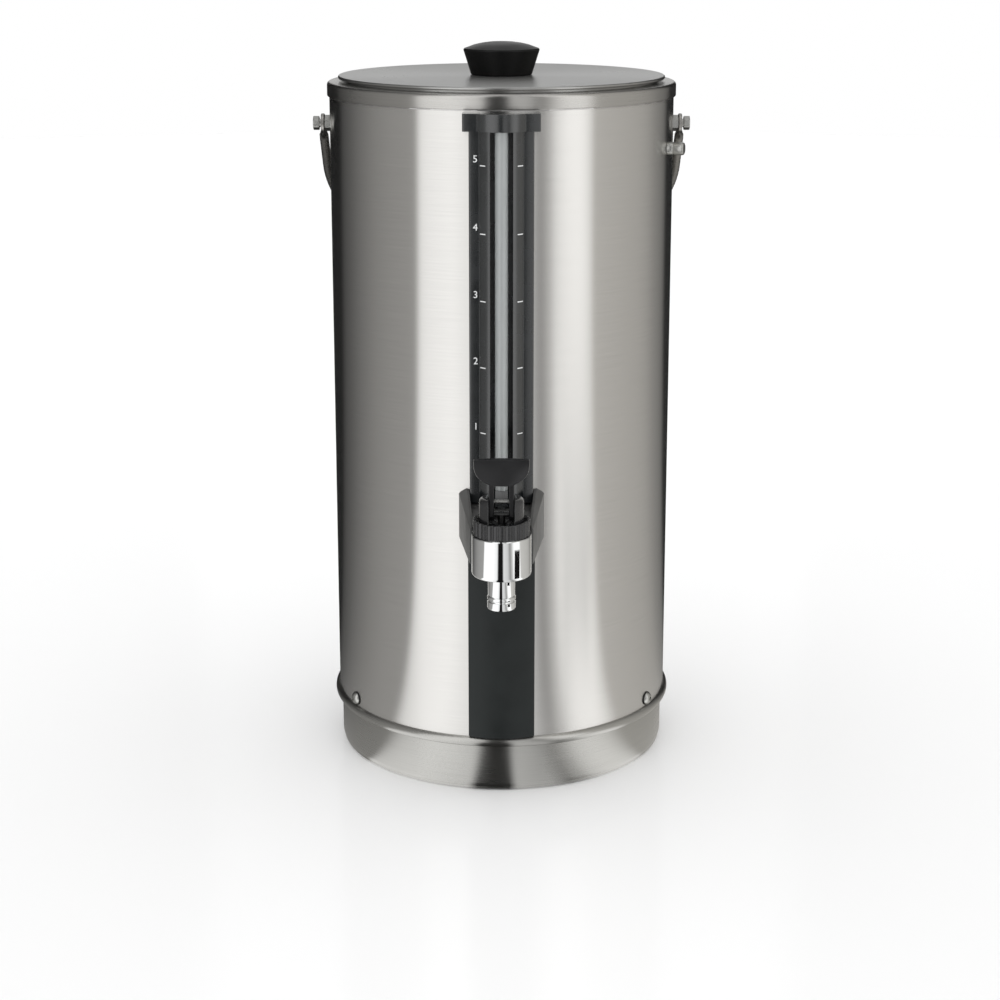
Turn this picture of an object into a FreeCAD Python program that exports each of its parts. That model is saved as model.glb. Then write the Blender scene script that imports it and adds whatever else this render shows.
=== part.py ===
import FreeCAD, Part
import math
import os
from FreeCAD import Vector

# A double-walled hot water urn with a gauge glass, a sprung tap, a lift-off lid and a bail handle.
# Millimetres. Z is up, the origin is on the vessel's axis at the floor, and the tap is at the front (-Y).

# How finely rounds are drawn
large_sides = 48
medium_sides = 24
small_sides = 16
hidden_sides = 8
rod_sides = 8
arch_chords = 20

# Body
jacket_d = 220.0
jacket_wall = 0.8
jacket_top = 431.0
insulation_space = 19.9
vessel_wall = 0.8
vessel_floor_z = 170.0
collar_proud = 1.4
collar_h = 9.7
collar_wall = 1.2
collar_edge = 1.3
collar_lip = 0.7
insulation_gap = 0.4
insulation_below_rim = 43.0
panel_count = 24

# Base pan
pan_inset = 1.7
pan_skirt_h = 30.5
pan_wall = 1.0
pan_edge_round = 5.0
bead_proud = 2.7
bead_h = 6.5
upstand_h = 15.0
upstand_wall = 1.6
upstand_gap = 0.3
vent_count = 12
vent_ring_r = 78.0
vent_length = 24.0
vent_width = 4.0

# Screws of the base pan
base_screw_r = 2.0
base_screw_count = 3
base_screw_first = 60.0
base_screw_above_bead = 4.8
base_screw_past_upstand = 5.0
base_nut_flats = 7.0
base_nut_h = 3.2
base_nut_gap = 0.3
button_head_r = 4.0
button_head_h = 2.4
button_drive_flats = 2.5
button_drive_floor = 1.0
base_washer_r = 4.5
washer_t = 0.6

# Lid
lid_inset = 7.1
lid_rise = 0.1
lid_h = 3.6
lid_wall = 0.8
lid_edge_round = 1.3
lug_count = 3
lug_w = 22.0
lug_wall = 1.0
lug_depth = 15.0
lug_foot = 14.0
locating_gap = 1.2
knob_foot_d = 39.3
knob_top_d = 48.6
knob_side_h = 16.6
knob_dome_h = 4.3
knob_lip = 1.2
knob_screw_r = 2.5
knob_screw_head_r = 4.6
knob_screw_head_h = 2.2
knob_screw_grip = 12.0

# Gauge
strip_half_w = 19.5
strip_flange = 2.8
bulge_r = 17.0
bulge_rise = 6.4
slot_half_w = 6.85
channel_floor = 0.8
strip_above_shank = 9.6
glass_r = 4.0
glass_wall = 1.2
glass_off_jacket = 5.6
glass_above_strip_foot = 2.0
glass_into_cap = 5.5
cap_half_w = 23.25
cap_h = 10.5
cap_over_strip = 2.4
cap_corner = 2.0
cap_below_rim = 1.0
socket_wall = 1.4
socket_overlap = 7.5
socket_foot = 0.6
gauge_port_r = 2.2
gauge_port_wall = 1.0
seal_h = 2.0
lower_strip_half_w = 20.75
lower_strip_edge = 2.0
lower_strip_crown = 4.5
lower_strip_wall = 1.8
strip_end_gap = 0.3

# Tap
tap_out = 40.0
barrel_r = 18.0
barrel_h = 25.4
barrel_above_shank = 1.0
barrel_edge_round = 2.5
chamber_r = 12.2
chamber_floor = 8.0
spigot_r = 15.1
spigot_h = 3.3
nozzle_r = 8.65
nozzle_neck_r = 8.3
nozzle_bore_r = 6.4
nozzle_h = 20.8
nozzle_bead_h = 2.6
shank_r = 6.58
shank_above_floor = 12.4
shank_past_vessel = 10.5
port_r = 4.5
neck_half_w = 7.5
neck_off_jacket = 2.0
neck_above_barrel_foot = 5.5
neck_into_barrel = 4.0
neck_step = 0.4
neck_slope_d = 6.0
neck_slope_h = 8.5
nut_flats = 19.0
nut_h = 6.0
fit_gap = 0.3
washer_gap = 0.15
seat_gap = 0.1
running_gap = 0.05
ring_nut_r = 17.2
ring_nut_h = 9.6
ring_nut_wall = 1.5
ring_nut_lip = 1.5
flute_count = 26
flute_depth = 0.7
bonnet_r = 13.5
bonnet_flange_h = 1.8
bonnet_above_pivot = 3.0
bonnet_shoulder = 3.0
bonnet_slot_half_w = 7.85
bonnet_slot_depth = 16.1
pivot_above_barrel = 20.1
pin_r = 1.35
pin_half_length = 12.4

# Lever
arm_inner = 4.4
arm_outer = 7.65
lever_travel = 40.0
paddle_above_pivot = 10.5
paddle_h = 16.0
paddle_bottom_half_w = 11.0
paddle_top_half_w = 16.5
paddle_t = 5.0
paddle_front = 4.5
paddle_corner = 6.0
cam_front = 6.2
cam_back = 3.2

# Valve
stem_r = 2.3
crossbar_r = 1.2
crossbar_drop = 8.0
valve_lift = 3.5
slot_clearance = 0.25
cup_r = 9.5
cup_h = 8.4
stem_in_cup = 5.5
spring_r = 5.0
spring_wire = 1.1
spring_turns = 5

# Tap shroud
shroud_half_w = 26.6
shroud_ridge_half_w = 22.0
shroud_below_strip = 23.0
shroud_shoulder_above_strip = 5.0
shroud_ridge_above_strip = 9.0
shroud_front_half_w = 18.4
shroud_front_above_barrel_foot = 5.0
shroud_front_above_barrel = 1.6
shroud_wall = 2.0
shroud_deck_fall = 8.0
deck_t = 1.2

# Bail handle
bail_pivot_below_rim = 17.6
bail_rod_r = 3.0
bail_off_jacket = 5.0
bail_leg = 43.0
bail_hang = 45.8
eye_r = 6.2
eye_t = 2.2
eye_inset = 0.3
eye_neck = 14.0
pivot_bolt_r = 2.5
pivot_clearance = 0.08
bolt_head_flats = 8.0
bolt_head_h = 4.0
bolt_end_float = 1.1
spacer_flats = 9.0
stop_r = 4.0
stop_out = 10.6
stop_below_pivot = 12.4
stop_azimuth = 71.5
stop_tip_round = 1.2
inner_nut_flats = 8.0
inner_nut_h = 4.0

# Heating and electrics under the vessel
heater_to_stud = 5.0
heater_inner_r = 30.0
heater_t = 7.0
arm_half_w = 14.0
arm_past_stud = 6.0
clamp_hole_r = 22.0
clamp_t = 2.0
heater_stud_r = 2.5
heater_stud_pcd = 140.0
heater_nut_flats = 8.0
heater_nut_h = 4.0
stud_count = 3
shield_past_stud = 10.0
shield_drop = 50.0
shield_t = 1.0
sensor_r = 8.0
sensor_x = 11.0
sensor_drop = 13.0
bridge_half_w = 34.0
bridge_depth = 6.0
bridge_t = 1.5
terminal_w = 40.0
terminal_d = 18.0
terminal_h = 14.0
terminal_ways = 4
inlet_above_bead = 35.0
inlet_w = 30.0
inlet_h = 24.0
inlet_flange_w = 50.0
inlet_flange_proud = 3.5
inlet_depth = 26.0
inlet_mouth_w = 24.4
inlet_mouth_h = 16.2
inlet_mouth_depth = 17.0
inlet_pin_l = 12.0
inlet_screw_x = 20.0
inlet_screw_r = 1.6

# Worked out from the sizes above
jacket_r = jacket_d / 2
jacket_bore = jacket_r - jacket_wall
vessel_outer = jacket_bore - insulation_space
vessel_r = vessel_outer - vessel_wall
bead_top = pan_skirt_h + bead_h
vessel_top = jacket_top + vessel_wall
insulation_top = jacket_top - insulation_below_rim
collar_top = jacket_top + collar_h
collar_r = jacket_r + collar_proud
collar_lip_r = vessel_r + collar_lip
lid_r = collar_r - lid_inset
lid_bottom = collar_top + lid_rise
lid_top = lid_bottom + lid_h
lid_under = lid_top - lid_wall
upstand_r = jacket_bore - upstand_gap
upstand_inner = upstand_r - upstand_wall
base_screw_z = bead_top + base_screw_above_bead
shank_z = vessel_floor_z + shank_above_floor
shank_end = vessel_r - shank_past_vessel
barrel_top = shank_z + barrel_above_shank
barrel_bottom = barrel_top - barrel_h
strip_bottom = shank_z + strip_above_shank
cap_top = jacket_top - cap_below_rim
strip_top = cap_top - cap_h
glass_bottom = strip_bottom + glass_above_strip_foot
glass_top = strip_top + glass_into_cap
socket_top = glass_bottom + socket_overlap
socket_r = glass_r + socket_wall
shroud_back = -(jacket_r - 6)
shroud_low = strip_bottom - shroud_below_strip
shroud_shoulder = strip_bottom + shroud_shoulder_above_strip
shroud_high = strip_bottom + shroud_ridge_above_strip
shroud_front_low = barrel_bottom + shroud_front_above_barrel_foot
shroud_front_high = barrel_top + shroud_front_above_barrel
shroud_deck_back = strip_bottom - 0.6
shroud_deck_front = shroud_deck_back - shroud_deck_fall
tap_y = -(jacket_r + tap_out)
glass_y = -(jacket_r + glass_off_jacket)
neck_back = -(jacket_r + neck_off_jacket)
neck_front = tap_y + ring_nut_r + 1.0
neck_top = strip_bottom - 2.5
seat_z = barrel_bottom + chamber_floor
spigot_top = barrel_top + spigot_h
flange_top = spigot_top + bonnet_flange_h
pivot_z = barrel_top + pivot_above_barrel
bonnet_top = pivot_z + bonnet_above_pivot
bonnet_slot_floor = bonnet_top - bonnet_slot_depth
paddle_bottom = pivot_z + paddle_above_pivot
paddle_top = paddle_bottom + paddle_h
cup_bottom = seat_z + seat_gap
cup_top = cup_bottom + cup_h
crossbar_z = pivot_z - crossbar_drop
bail_pivot_z = jacket_top - bail_pivot_below_rim
bail_half_w = jacket_r + bail_off_jacket
eye_x = bail_half_w - eye_inset
eye_in = eye_x - eye_t / 2
eye_out = eye_x + eye_t / 2
stop_z = bail_pivot_z - stop_below_pivot
nut_face_r = jacket_bore - 0.3
inlet_front = jacket_r + inlet_flange_proud
inlet_z = bead_top + inlet_above_bead
stud_circle_r = heater_stud_pcd / 2
heater_r = stud_circle_r - heater_to_stud
heater_bottom = vessel_floor_z - heater_t
clamp_bottom = heater_bottom - clamp_t
shield_r = stud_circle_r + shield_past_stud
shield_z = vessel_floor_z - shield_drop

os.makedirs("parts", exist_ok=True)


def save(name, shape):
    shape.exportStep("parts/" + name + ".step")


def block(x0, x1, y0, y1, z0, z1):
    return Part.makeBox(x1 - x0, y1 - y0, z1 - z0, Vector(x0, y0, z0))


def fused(shapes):
    return shapes[0].multiFuse(shapes[1:]).removeSplitter()


def regular_points(sides, corner_r):
    return [Vector(corner_r * math.cos(2 * math.pi * i / sides), corner_r * math.sin(2 * math.pi * i / sides), 0)
            for i in range(sides + 1)]


def regular_prism(sides, corner_r, start, end):
    """A prism with a regular outline, from start to end."""
    way = end.sub(start)
    prism = Part.Face(Part.makePolygon(regular_points(sides, corner_r))).extrude(Vector(0, 0, way.Length))
    prism.Placement = FreeCAD.Placement(start, FreeCAD.Rotation(Vector(0, 0, 1), way))
    return prism


def hexagon(flats, start, end):
    return regular_prism(6, flats / math.sqrt(3), start, end)


def hidden_bar(r, start, end):
    """A bar of hidden hardware, whose round is drawn with few sides."""
    return regular_prism(hidden_sides, r, start, end)


def hidden_hole(r, start, end):
    """The tool for a hole drawn with few sides that clears a true round of the same radius."""
    return regular_prism(hidden_sides, r / math.cos(math.pi / hidden_sides), start, end)


def small_round(r, start, end):
    return regular_prism(small_sides, r, start, end)


def cross_round(r, x0, x1, y, z):
    """A small round that lies across the body, from left to right."""
    return small_round(r, Vector(x0, y, z), Vector(x1, y, z))


def upright_round(sides, r, z0, z1, y=0.0):
    return regular_prism(sides, r, Vector(0, y, z0), Vector(0, y, z1))


def prism_x(points, x0, x1):
    """Extrudes an outline of (y, z) points from x0 to x1."""
    wire = Part.makePolygon([Vector(x0, y, z) for y, z in points + points[:1]])
    return Part.Face(wire).extrude(Vector(x1 - x0, 0, 0))


def prism_z(points, z0, z1):
    """Extrudes an outline of (x, y) points from z0 to z1."""
    wire = Part.makePolygon([Vector(x, y, z0) for x, y in points + points[:1]])
    return Part.Face(wire).extrude(Vector(0, 0, z1 - z0))


def turned(points, sides, y=0.0):
    """Turns a closed outline of (radius, height) points about the upright axis at y, in fine flat sides."""
    faces = []
    for i in range(sides):
        turns = [2 * math.pi * (i + k) / sides for k in (0, 1)]
        for (r0, z0), (r1, z1) in zip(points, points[1:] + points[:1]):
            near = [Vector(r0 * math.cos(t), r0 * math.sin(t), z0) for t in turns]
            far = [Vector(r1 * math.cos(t), r1 * math.sin(t), z1) for t in turns[::-1]]
            corners = near[:1 if r0 == 0 else 2] + far[:1 if r1 == 0 else 2]
            if len(corners) > 2:
                faces.append(Part.Face(Part.makePolygon(corners + corners[:1])))
    shell = Part.makeShell(faces)
    shell.sewShape()
    solid = Part.makeSolid(shell)
    if solid.Volume < 0:
        solid.reverse()
    solid = solid.removeSplitter()
    solid.translate(Vector(0, y, 0))
    return solid


def set_along(shape, start, way):
    """Moves a shape made on the upright axis so that it starts at a point and runs along a direction."""
    shape.Placement = FreeCAD.Placement(start, FreeCAD.Rotation(Vector(0, 0, 1), way))
    return shape


def arc_points(centre_r, centre_z, radius, from_deg, to_deg, chords):
    """Points of (radius, height) along an arc, drawn with a few chords."""
    points = []
    for i in range(chords + 1):
        turn = math.radians(from_deg + (to_deg - from_deg) * i / chords)
        points.append((centre_r + radius * math.cos(turn), centre_z + radius * math.sin(turn)))
    return points


def outward(azimuth):
    """The level direction away from the vessel's axis; azimuth 0 is the front, 90 the right."""
    turn = math.radians(azimuth)
    return Vector(math.sin(turn), -math.cos(turn), 0)


def on_radius(azimuth, r, z):
    return outward(azimuth) * r + Vector(0, 0, z)


def base_screw_angles():
    return [base_screw_first + i * 360.0 / base_screw_count for i in range(base_screw_count)]


def base_screw_bore(azimuth):
    near = on_radius(azimuth, upstand_inner - 8, base_screw_z)
    far = on_radius(azimuth, jacket_r + 4, base_screw_z)
    return hidden_bar(base_screw_r + running_gap, near, far)


def shank_space(gap):
    return small_round(shank_r + gap, Vector(0, neck_back, shank_z), Vector(0, -shank_end, shank_z))


def jacket_space(z0, z1):
    return upright_round(large_sides, jacket_r + running_gap, z0 - 1, z1 + 1)


def make_base_pan():
    skirt_r = jacket_r - pan_inset
    bead_out = jacket_r + bead_proud
    bend = bead_h * 0.28
    outline = [(0, 0), (skirt_r - pan_edge_round, 0), (skirt_r - pan_edge_round * 0.29, pan_edge_round * 0.29),
               (skirt_r, pan_edge_round), (skirt_r, pan_skirt_h), (bead_out - bend, pan_skirt_h),
               (bead_out, pan_skirt_h + bend), (bead_out, bead_top - bend), (bead_out - bend, bead_top),
               (upstand_r, bead_top), (upstand_r, bead_top + upstand_h), (upstand_inner, bead_top + upstand_h),
               (upstand_inner, pan_wall), (0, pan_wall)]
    pan = turned(outline, large_sides)
    for i in range(vent_count):
        slot = block(-vent_width / 2, vent_width / 2, -vent_ring_r - vent_length / 2,
                     -vent_ring_r + vent_length / 2, -1, pan_wall + 1)
        slot.rotate(Vector(0, 0, 0), Vector(0, 0, 1), i * 360.0 / vent_count)
        pan = pan.cut(slot)
    for azimuth in base_screw_angles():
        pan = pan.cut(base_screw_bore(azimuth))
    save("base_pan", pan)


def make_outer_jacket():
    wall = [(jacket_bore, bead_top), (jacket_r, bead_top), (jacket_r, jacket_top), (jacket_bore, jacket_top)]
    jacket = turned(wall, large_sides)
    for azimuth in base_screw_angles():
        jacket = jacket.cut(base_screw_bore(azimuth))
    for azimuth, z in ((-90, bail_pivot_z), (90, bail_pivot_z), (stop_azimuth, stop_z)):
        near = on_radius(azimuth, jacket_bore - 3, z)
        jacket = jacket.cut(hidden_hole(pivot_bolt_r + washer_gap, near, on_radius(azimuth, jacket_r + 3, z)))
    jacket = jacket.cut(shank_space(fit_gap))
    save("outer_jacket", jacket.cut(inlet_body(fit_gap)))


def make_inner_vessel():
    """The vessel's wall with its flange, and the bottom that is welded into it."""
    flange_r = jacket_r - washer_gap
    outline = [(vessel_r, vessel_floor_z), (vessel_outer, vessel_floor_z), (vessel_outer, jacket_top),
               (flange_r, jacket_top), (flange_r, vessel_top), (vessel_r, vessel_top)]
    save("inner_vessel", turned(outline, large_sides).cut(shank_space(fit_gap)))
    save("vessel_bottom", upright_round(large_sides, vessel_r, vessel_floor_z, vessel_floor_z + vessel_wall))


def make_rim_collar():
    outline = [(collar_r - collar_wall, vessel_top), (collar_r, vessel_top), (collar_r, collar_top - collar_edge),
               (collar_r - collar_edge, collar_top), (collar_lip_r, collar_top),
               (collar_lip_r, collar_top - collar_wall), (collar_r - collar_wall, collar_top - collar_wall)]
    save("rim_collar", turned(outline, large_sides))


def make_insulation():
    """A board wrapped round the vessel in flat panels, notched at the front for the shank."""
    upright = Vector(0, 0, insulation_top)
    inscribed = math.cos(math.pi / panel_count)
    bottom = Vector(0, 0, vessel_floor_z)
    outer = regular_prism(panel_count, jacket_bore - insulation_gap, bottom, upright)
    inner = regular_prism(panel_count, (vessel_outer + insulation_gap) / inscribed, bottom, upright)
    slot_half_w = nut_flats / 2 + 2
    notch = block(-slot_half_w, slot_half_w, -jacket_r, 0, vessel_floor_z - 1, shank_z + nut_flats)
    save("insulation_sleeve", outer.cut(inner).cut(notch))


def make_base_screws():
    screws = []
    washers = []
    nuts = []
    seat = jacket_r + washer_gap
    head_in = seat + washer_t
    for azimuth in base_screw_angles():
        head = turned([(0, 0), (button_head_r, 0), (button_head_r * 0.6, button_head_h), (0, button_head_h)],
                      small_sides)
        head = set_along(head, on_radius(azimuth, head_in, base_screw_z), outward(azimuth))
        shank_in = upstand_inner - base_screw_past_upstand
        shank = hidden_bar(base_screw_r, on_radius(azimuth, shank_in, base_screw_z),
                           on_radius(azimuth, head_in + 0.1, base_screw_z))
        drive = hexagon(button_drive_flats, on_radius(azimuth, head_in + button_drive_floor, base_screw_z),
                        on_radius(azimuth, head_in + button_head_h + 1, base_screw_z))
        screws.append(head.fuse(shank).cut(drive))
        washer = small_round(base_washer_r, on_radius(azimuth, seat, base_screw_z),
                             on_radius(azimuth, head_in, base_screw_z))
        washers.append(washer.cut(base_screw_bore(azimuth)))
        nut_out = upstand_inner - base_nut_gap
        nut = hexagon(base_nut_flats, on_radius(azimuth, nut_out - base_nut_h, base_screw_z),
                      on_radius(azimuth, nut_out, base_screw_z))
        nuts.append(nut.cut(base_screw_bore(azimuth)))
    save("base_screws", Part.makeCompound(screws))
    save("base_washers", Part.makeCompound(washers))
    save("base_nuts", Part.makeCompound(nuts))


def make_lid():
    rim_r = lid_r - lid_wall
    outline = [(0, lid_top), (lid_r - lid_edge_round, lid_top), (lid_r, lid_top - lid_edge_round),
               (lid_r, lid_bottom), (rim_r, lid_bottom), (rim_r, lid_under), (0, lid_under)]
    hole = hidden_bar(knob_screw_r + running_gap, Vector(0, 0, lid_bottom), Vector(0, 0, lid_top + 1))
    save("lid", turned(outline, large_sides).cut(hole))
    lugs = []
    half = lug_w / 2
    lug_face = math.sqrt((vessel_r - locating_gap) ** 2 - half ** 2)
    for i in range(lug_count):
        foot = block(-half, half, lug_face - lug_foot, lug_face, lid_under - lug_wall, lid_under)
        tongue = block(-half, half, lug_face - lug_wall, lug_face, lid_under - lug_depth, lid_under)
        lug = fused([foot, tongue])
        lug.rotate(Vector(0, 0, 0), Vector(0, 0, 1), i * 360.0 / lug_count)
        lugs.append(lug)
    save("lid_lugs", Part.makeCompound(lugs))


def make_knob():
    top_r = knob_top_d / 2
    side_top = lid_top + knob_side_h
    crown = side_top + knob_dome_h
    outline = [(0, lid_top), (knob_foot_d / 2, lid_top), (top_r, side_top - knob_lip), (top_r - knob_lip, side_top),
               (top_r * 0.55, side_top + knob_dome_h * 0.72), (0, crown)]
    bore = hidden_bar(knob_screw_r + running_gap, Vector(0, 0, lid_top - 1), Vector(0, 0, lid_top + knob_screw_grip))
    save("lid_knob", turned(outline, medium_sides).cut(bore))
    head = hidden_bar(knob_screw_head_r, Vector(0, 0, lid_under - knob_screw_head_h), Vector(0, 0, lid_under))
    shank = hidden_bar(knob_screw_r, Vector(0, 0, lid_under - 1), Vector(0, 0, lid_top + knob_screw_grip - 0.2))
    slot = block(-0.5, 0.5, -knob_screw_head_r, knob_screw_head_r, lid_under - knob_screw_head_h - 1,
                 lid_under - knob_screw_head_h + 1)
    save("knob_screw", fused([head, shank]).cut(slot))


def strip_section(half_w, flange, bulge, z0, z1):
    """A flat strip with a round bulge down its middle, whose back reaches into the jacket."""
    bulge_y = -(jacket_r + strip_flange + bulge_rise) + bulge_r
    back = -(jacket_r - 8)
    flat = block(-half_w, half_w, -(jacket_r + flange), back, z0, z1)
    bulge_bar = Part.makeCylinder(bulge, z1 - z0, Vector(0, bulge_y, z0))
    bulge_bar = bulge_bar.cut(block(-bulge, bulge, back, 0, z0, z1))
    return flat.fuse(bulge_bar).removeSplitter()


def make_gauge_strip():
    strip = strip_section(strip_half_w, strip_flange, bulge_r, strip_bottom, strip_top)
    channel = block(-slot_half_w, slot_half_w, -(jacket_r + 20), -(jacket_r + channel_floor),
                    strip_bottom - 1, strip_top + 1)
    save("gauge_strip", strip.cut(channel).cut(jacket_space(strip_bottom, strip_top)))


def make_gauge_top_cap():
    cap = strip_section(cap_half_w, strip_flange + cap_over_strip, bulge_r + cap_over_strip, strip_top, cap_top)
    for side in (-1, 1):
        corner_x = side * cap_half_w
        front = -(jacket_r + strip_flange + cap_over_strip)
        corner = prism_z([(corner_x, front), (corner_x - side * cap_corner, front), (corner_x, front + cap_corner)],
                         strip_top, cap_top)
        cap = cap.cut(corner)
    cap = cap.cut(jacket_space(strip_top, cap_top))
    cap = cap.cut(upright_round(small_sides, glass_r + running_gap, strip_top - 1, glass_top + seal_h, glass_y))
    save("gauge_top_cap", cap)


def glass_tube(sides, z0, z1):
    """A length of tube with the glass's own section."""
    return upright_round(sides, glass_r, z0, z1, glass_y).cut(
        upright_round(sides, glass_r - glass_wall, z0, z1, glass_y))


def make_gauge_glass():
    save("gauge_glass", glass_tube(small_sides, glass_bottom, glass_top))
    save("gauge_top_seal", glass_tube(hidden_sides, glass_top, glass_top + seal_h))
    save("gauge_bottom_seal", glass_tube(hidden_sides, glass_bottom - seal_h, glass_bottom))
    low = glass_bottom - seal_h - socket_foot
    port_low = neck_top - 4
    body = upright_round(hidden_sides, socket_r, low, socket_top, glass_y)
    body = body.cut(block(-20, 20, -(jacket_r + channel_floor + 0.2), 0, low - 1, socket_top + 1))
    spigot = upright_round(hidden_sides, gauge_port_r + gauge_port_wall, port_low, low + 0.1, glass_y)
    seat = upright_round(small_sides, glass_r + running_gap, glass_bottom - seal_h, socket_top + 1, glass_y)
    port = upright_round(hidden_sides, gauge_port_r, port_low - 1, socket_top, glass_y)
    save("gauge_socket", fused([body, spigot]).cut(seat).cut(port))


def crowned_strip(half_w, edge, crown, z0, z1):
    """A strip with an arched front and a back inside the jacket's surface."""
    edge_y = -(math.sqrt(jacket_r ** 2 - half_w ** 2) + edge)
    left = Vector(-half_w, edge_y, z0)
    right = Vector(half_w, edge_y, z0)
    middle = Vector(0, -(jacket_r + crown), z0)
    back_y = -(jacket_r - 12)
    edges = [Part.Arc(left, middle, right).toShape(),
             Part.LineSegment(right, Vector(half_w, back_y, z0)).toShape(),
             Part.LineSegment(Vector(half_w, back_y, z0), Vector(-half_w, back_y, z0)).toShape(),
             Part.LineSegment(Vector(-half_w, back_y, z0), left).toShape()]
    return Part.Face(Part.Wire(edges)).extrude(Vector(0, 0, z1 - z0))


def make_lower_strip():
    bottom = bead_top + strip_end_gap
    top = shroud_low - strip_end_gap - 1.0
    wall = lower_strip_wall
    strip = crowned_strip(lower_strip_half_w, lower_strip_edge, lower_strip_crown, bottom, top)
    hollow = crowned_strip(lower_strip_half_w - wall, lower_strip_edge - wall / 2, lower_strip_crown - wall,
                           bottom + wall, top - wall)
    save("lower_strip", strip.cut(hollow).cut(jacket_space(bottom, top)))


def shroud_deck(y):
    """Height of the sloping face between the cheeks, from the gauge strip down to the ring nut."""
    share = (-jacket_r - y) / tap_out
    return shroud_deck_back + share * (shroud_deck_front - shroud_deck_back)


def shroud_plan(back_half_w, front_half_w, z0, z1):
    return prism_z([(-back_half_w, shroud_back), (-front_half_w, tap_y), (front_half_w, tap_y),
                    (back_half_w, shroud_back)], z0, z1)


def make_tap_shroud():
    rear = [(-shroud_half_w, shroud_low), (-shroud_half_w, shroud_shoulder), (-shroud_ridge_half_w, shroud_high),
            (shroud_ridge_half_w, shroud_high), (shroud_half_w, shroud_shoulder), (shroud_half_w, shroud_low)]
    front_ridge = shroud_front_half_w - 0.8
    front = [(-shroud_front_half_w, shroud_front_low), (-shroud_front_half_w, shroud_front_high - 1),
             (-front_ridge, shroud_front_high), (front_ridge, shroud_front_high),
             (shroud_front_half_w, shroud_front_high - 1), (shroud_front_half_w, shroud_front_low)]
    wires = [Part.makePolygon([Vector(x, y, z) for x, z in outline + outline[:1]])
             for outline, y in ((rear, shroud_back), (front, tap_y))]
    shroud = Part.makeLoft(wires, True, True)
    over = shroud_high + 9
    under = barrel_bottom - 9
    deck_line = [(shroud_back, shroud_deck(shroud_back)), (tap_y, shroud_deck(tap_y))]
    above = prism_x(deck_line + [(tap_y, over), (shroud_back, over)], -40, 40)
    shroud = shroud.cut(above.common(shroud_plan(strip_half_w + 0.8, shroud_front_half_w - 1.0, under, over)))
    below = prism_x([(y, z - deck_t) for y, z in deck_line] + [(tap_y, under), (shroud_back, under)], -40, 40)
    inside = shroud_plan(shroud_half_w - shroud_wall, shroud_front_half_w - shroud_wall, under, over)
    shroud = shroud.cut(below.common(inside))
    barrel = upright_round(medium_sides, barrel_r + fit_gap, under, over, tap_y)
    shroud = shroud.cut(barrel).cut(jacket_space(shroud_low, shroud_high))
    save("tap_shroud", shroud.cut(upright_round(hidden_sides, socket_r + fit_gap, under, over, glass_y)))


def tap_neck():
    """The block that carries water from the shank down to the barrel."""
    top_front = shroud_deck(neck_front) - deck_t - fit_gap
    low = barrel_bottom + neck_above_barrel_foot
    step = barrel_top - neck_step
    into_barrel = tap_y + barrel_r - neck_into_barrel
    outline = [(neck_back, neck_top), (neck_front, top_front), (neck_front, step), (into_barrel, step),
               (into_barrel, low), (neck_back - neck_slope_d, low), (neck_back, low + neck_slope_h)]
    return prism_x(outline, -neck_half_w, neck_half_w)


def make_tap_body():
    edge = barrel_edge_round
    outline = [(nozzle_bore_r, barrel_bottom)]
    outline += arc_points(barrel_r - edge, barrel_bottom + edge, edge, -90, 0, 2)
    outline += [(barrel_r, barrel_top), (spigot_r, barrel_top), (spigot_r, spigot_top), (chamber_r, spigot_top),
                (chamber_r, seat_z), (nozzle_bore_r, seat_z)]
    neck = tap_neck().cut(upright_round(medium_sides, chamber_r + 1, barrel_bottom, spigot_top, tap_y))
    body = fused([turned(outline, medium_sides, tap_y), neck])
    drop_y = neck_back - port_r - 5
    low_z = seat_z + port_r + 1.5
    across = hidden_bar(port_r, Vector(0, neck_back + 1, shank_z), Vector(0, drop_y - port_r, shank_z))
    down = upright_round(hidden_sides, port_r, low_z - port_r / 2, shank_z, drop_y)
    inward = hidden_bar(port_r, Vector(0, drop_y + 1, low_z), Vector(0, tap_y + chamber_r - 2, low_z))
    gauge_way = upright_round(hidden_sides, gauge_port_r + gauge_port_wall, neck_top - 4, neck_top + 1, glass_y)
    gauge_drop = upright_round(hidden_sides, gauge_port_r, shank_z, neck_top, glass_y)
    for passage in (across, down, inward, gauge_way, gauge_drop):
        body = body.cut(passage)
    save("tap_body", body)
    shank_ends = (Vector(0, neck_back, shank_z), Vector(0, -shank_end, shank_z))
    save("tap_shank", small_round(shank_r, *shank_ends).cut(hidden_bar(port_r, *shank_ends)))


def make_tap_nozzle():
    foot = barrel_bottom - nozzle_h
    groove = foot + nozzle_bead_h
    neck = foot + 2 * nozzle_bead_h
    outline = [(nozzle_bore_r, foot), (nozzle_r, foot), (nozzle_r, groove - 0.5), (nozzle_r - 0.5, groove),
               (nozzle_r, groove + 0.5), (nozzle_r, neck), (nozzle_neck_r, neck + 0.6), (nozzle_neck_r, barrel_bottom),
               (nozzle_bore_r, barrel_bottom)]
    save("tap_nozzle", turned(outline, medium_sides, tap_y))


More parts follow.
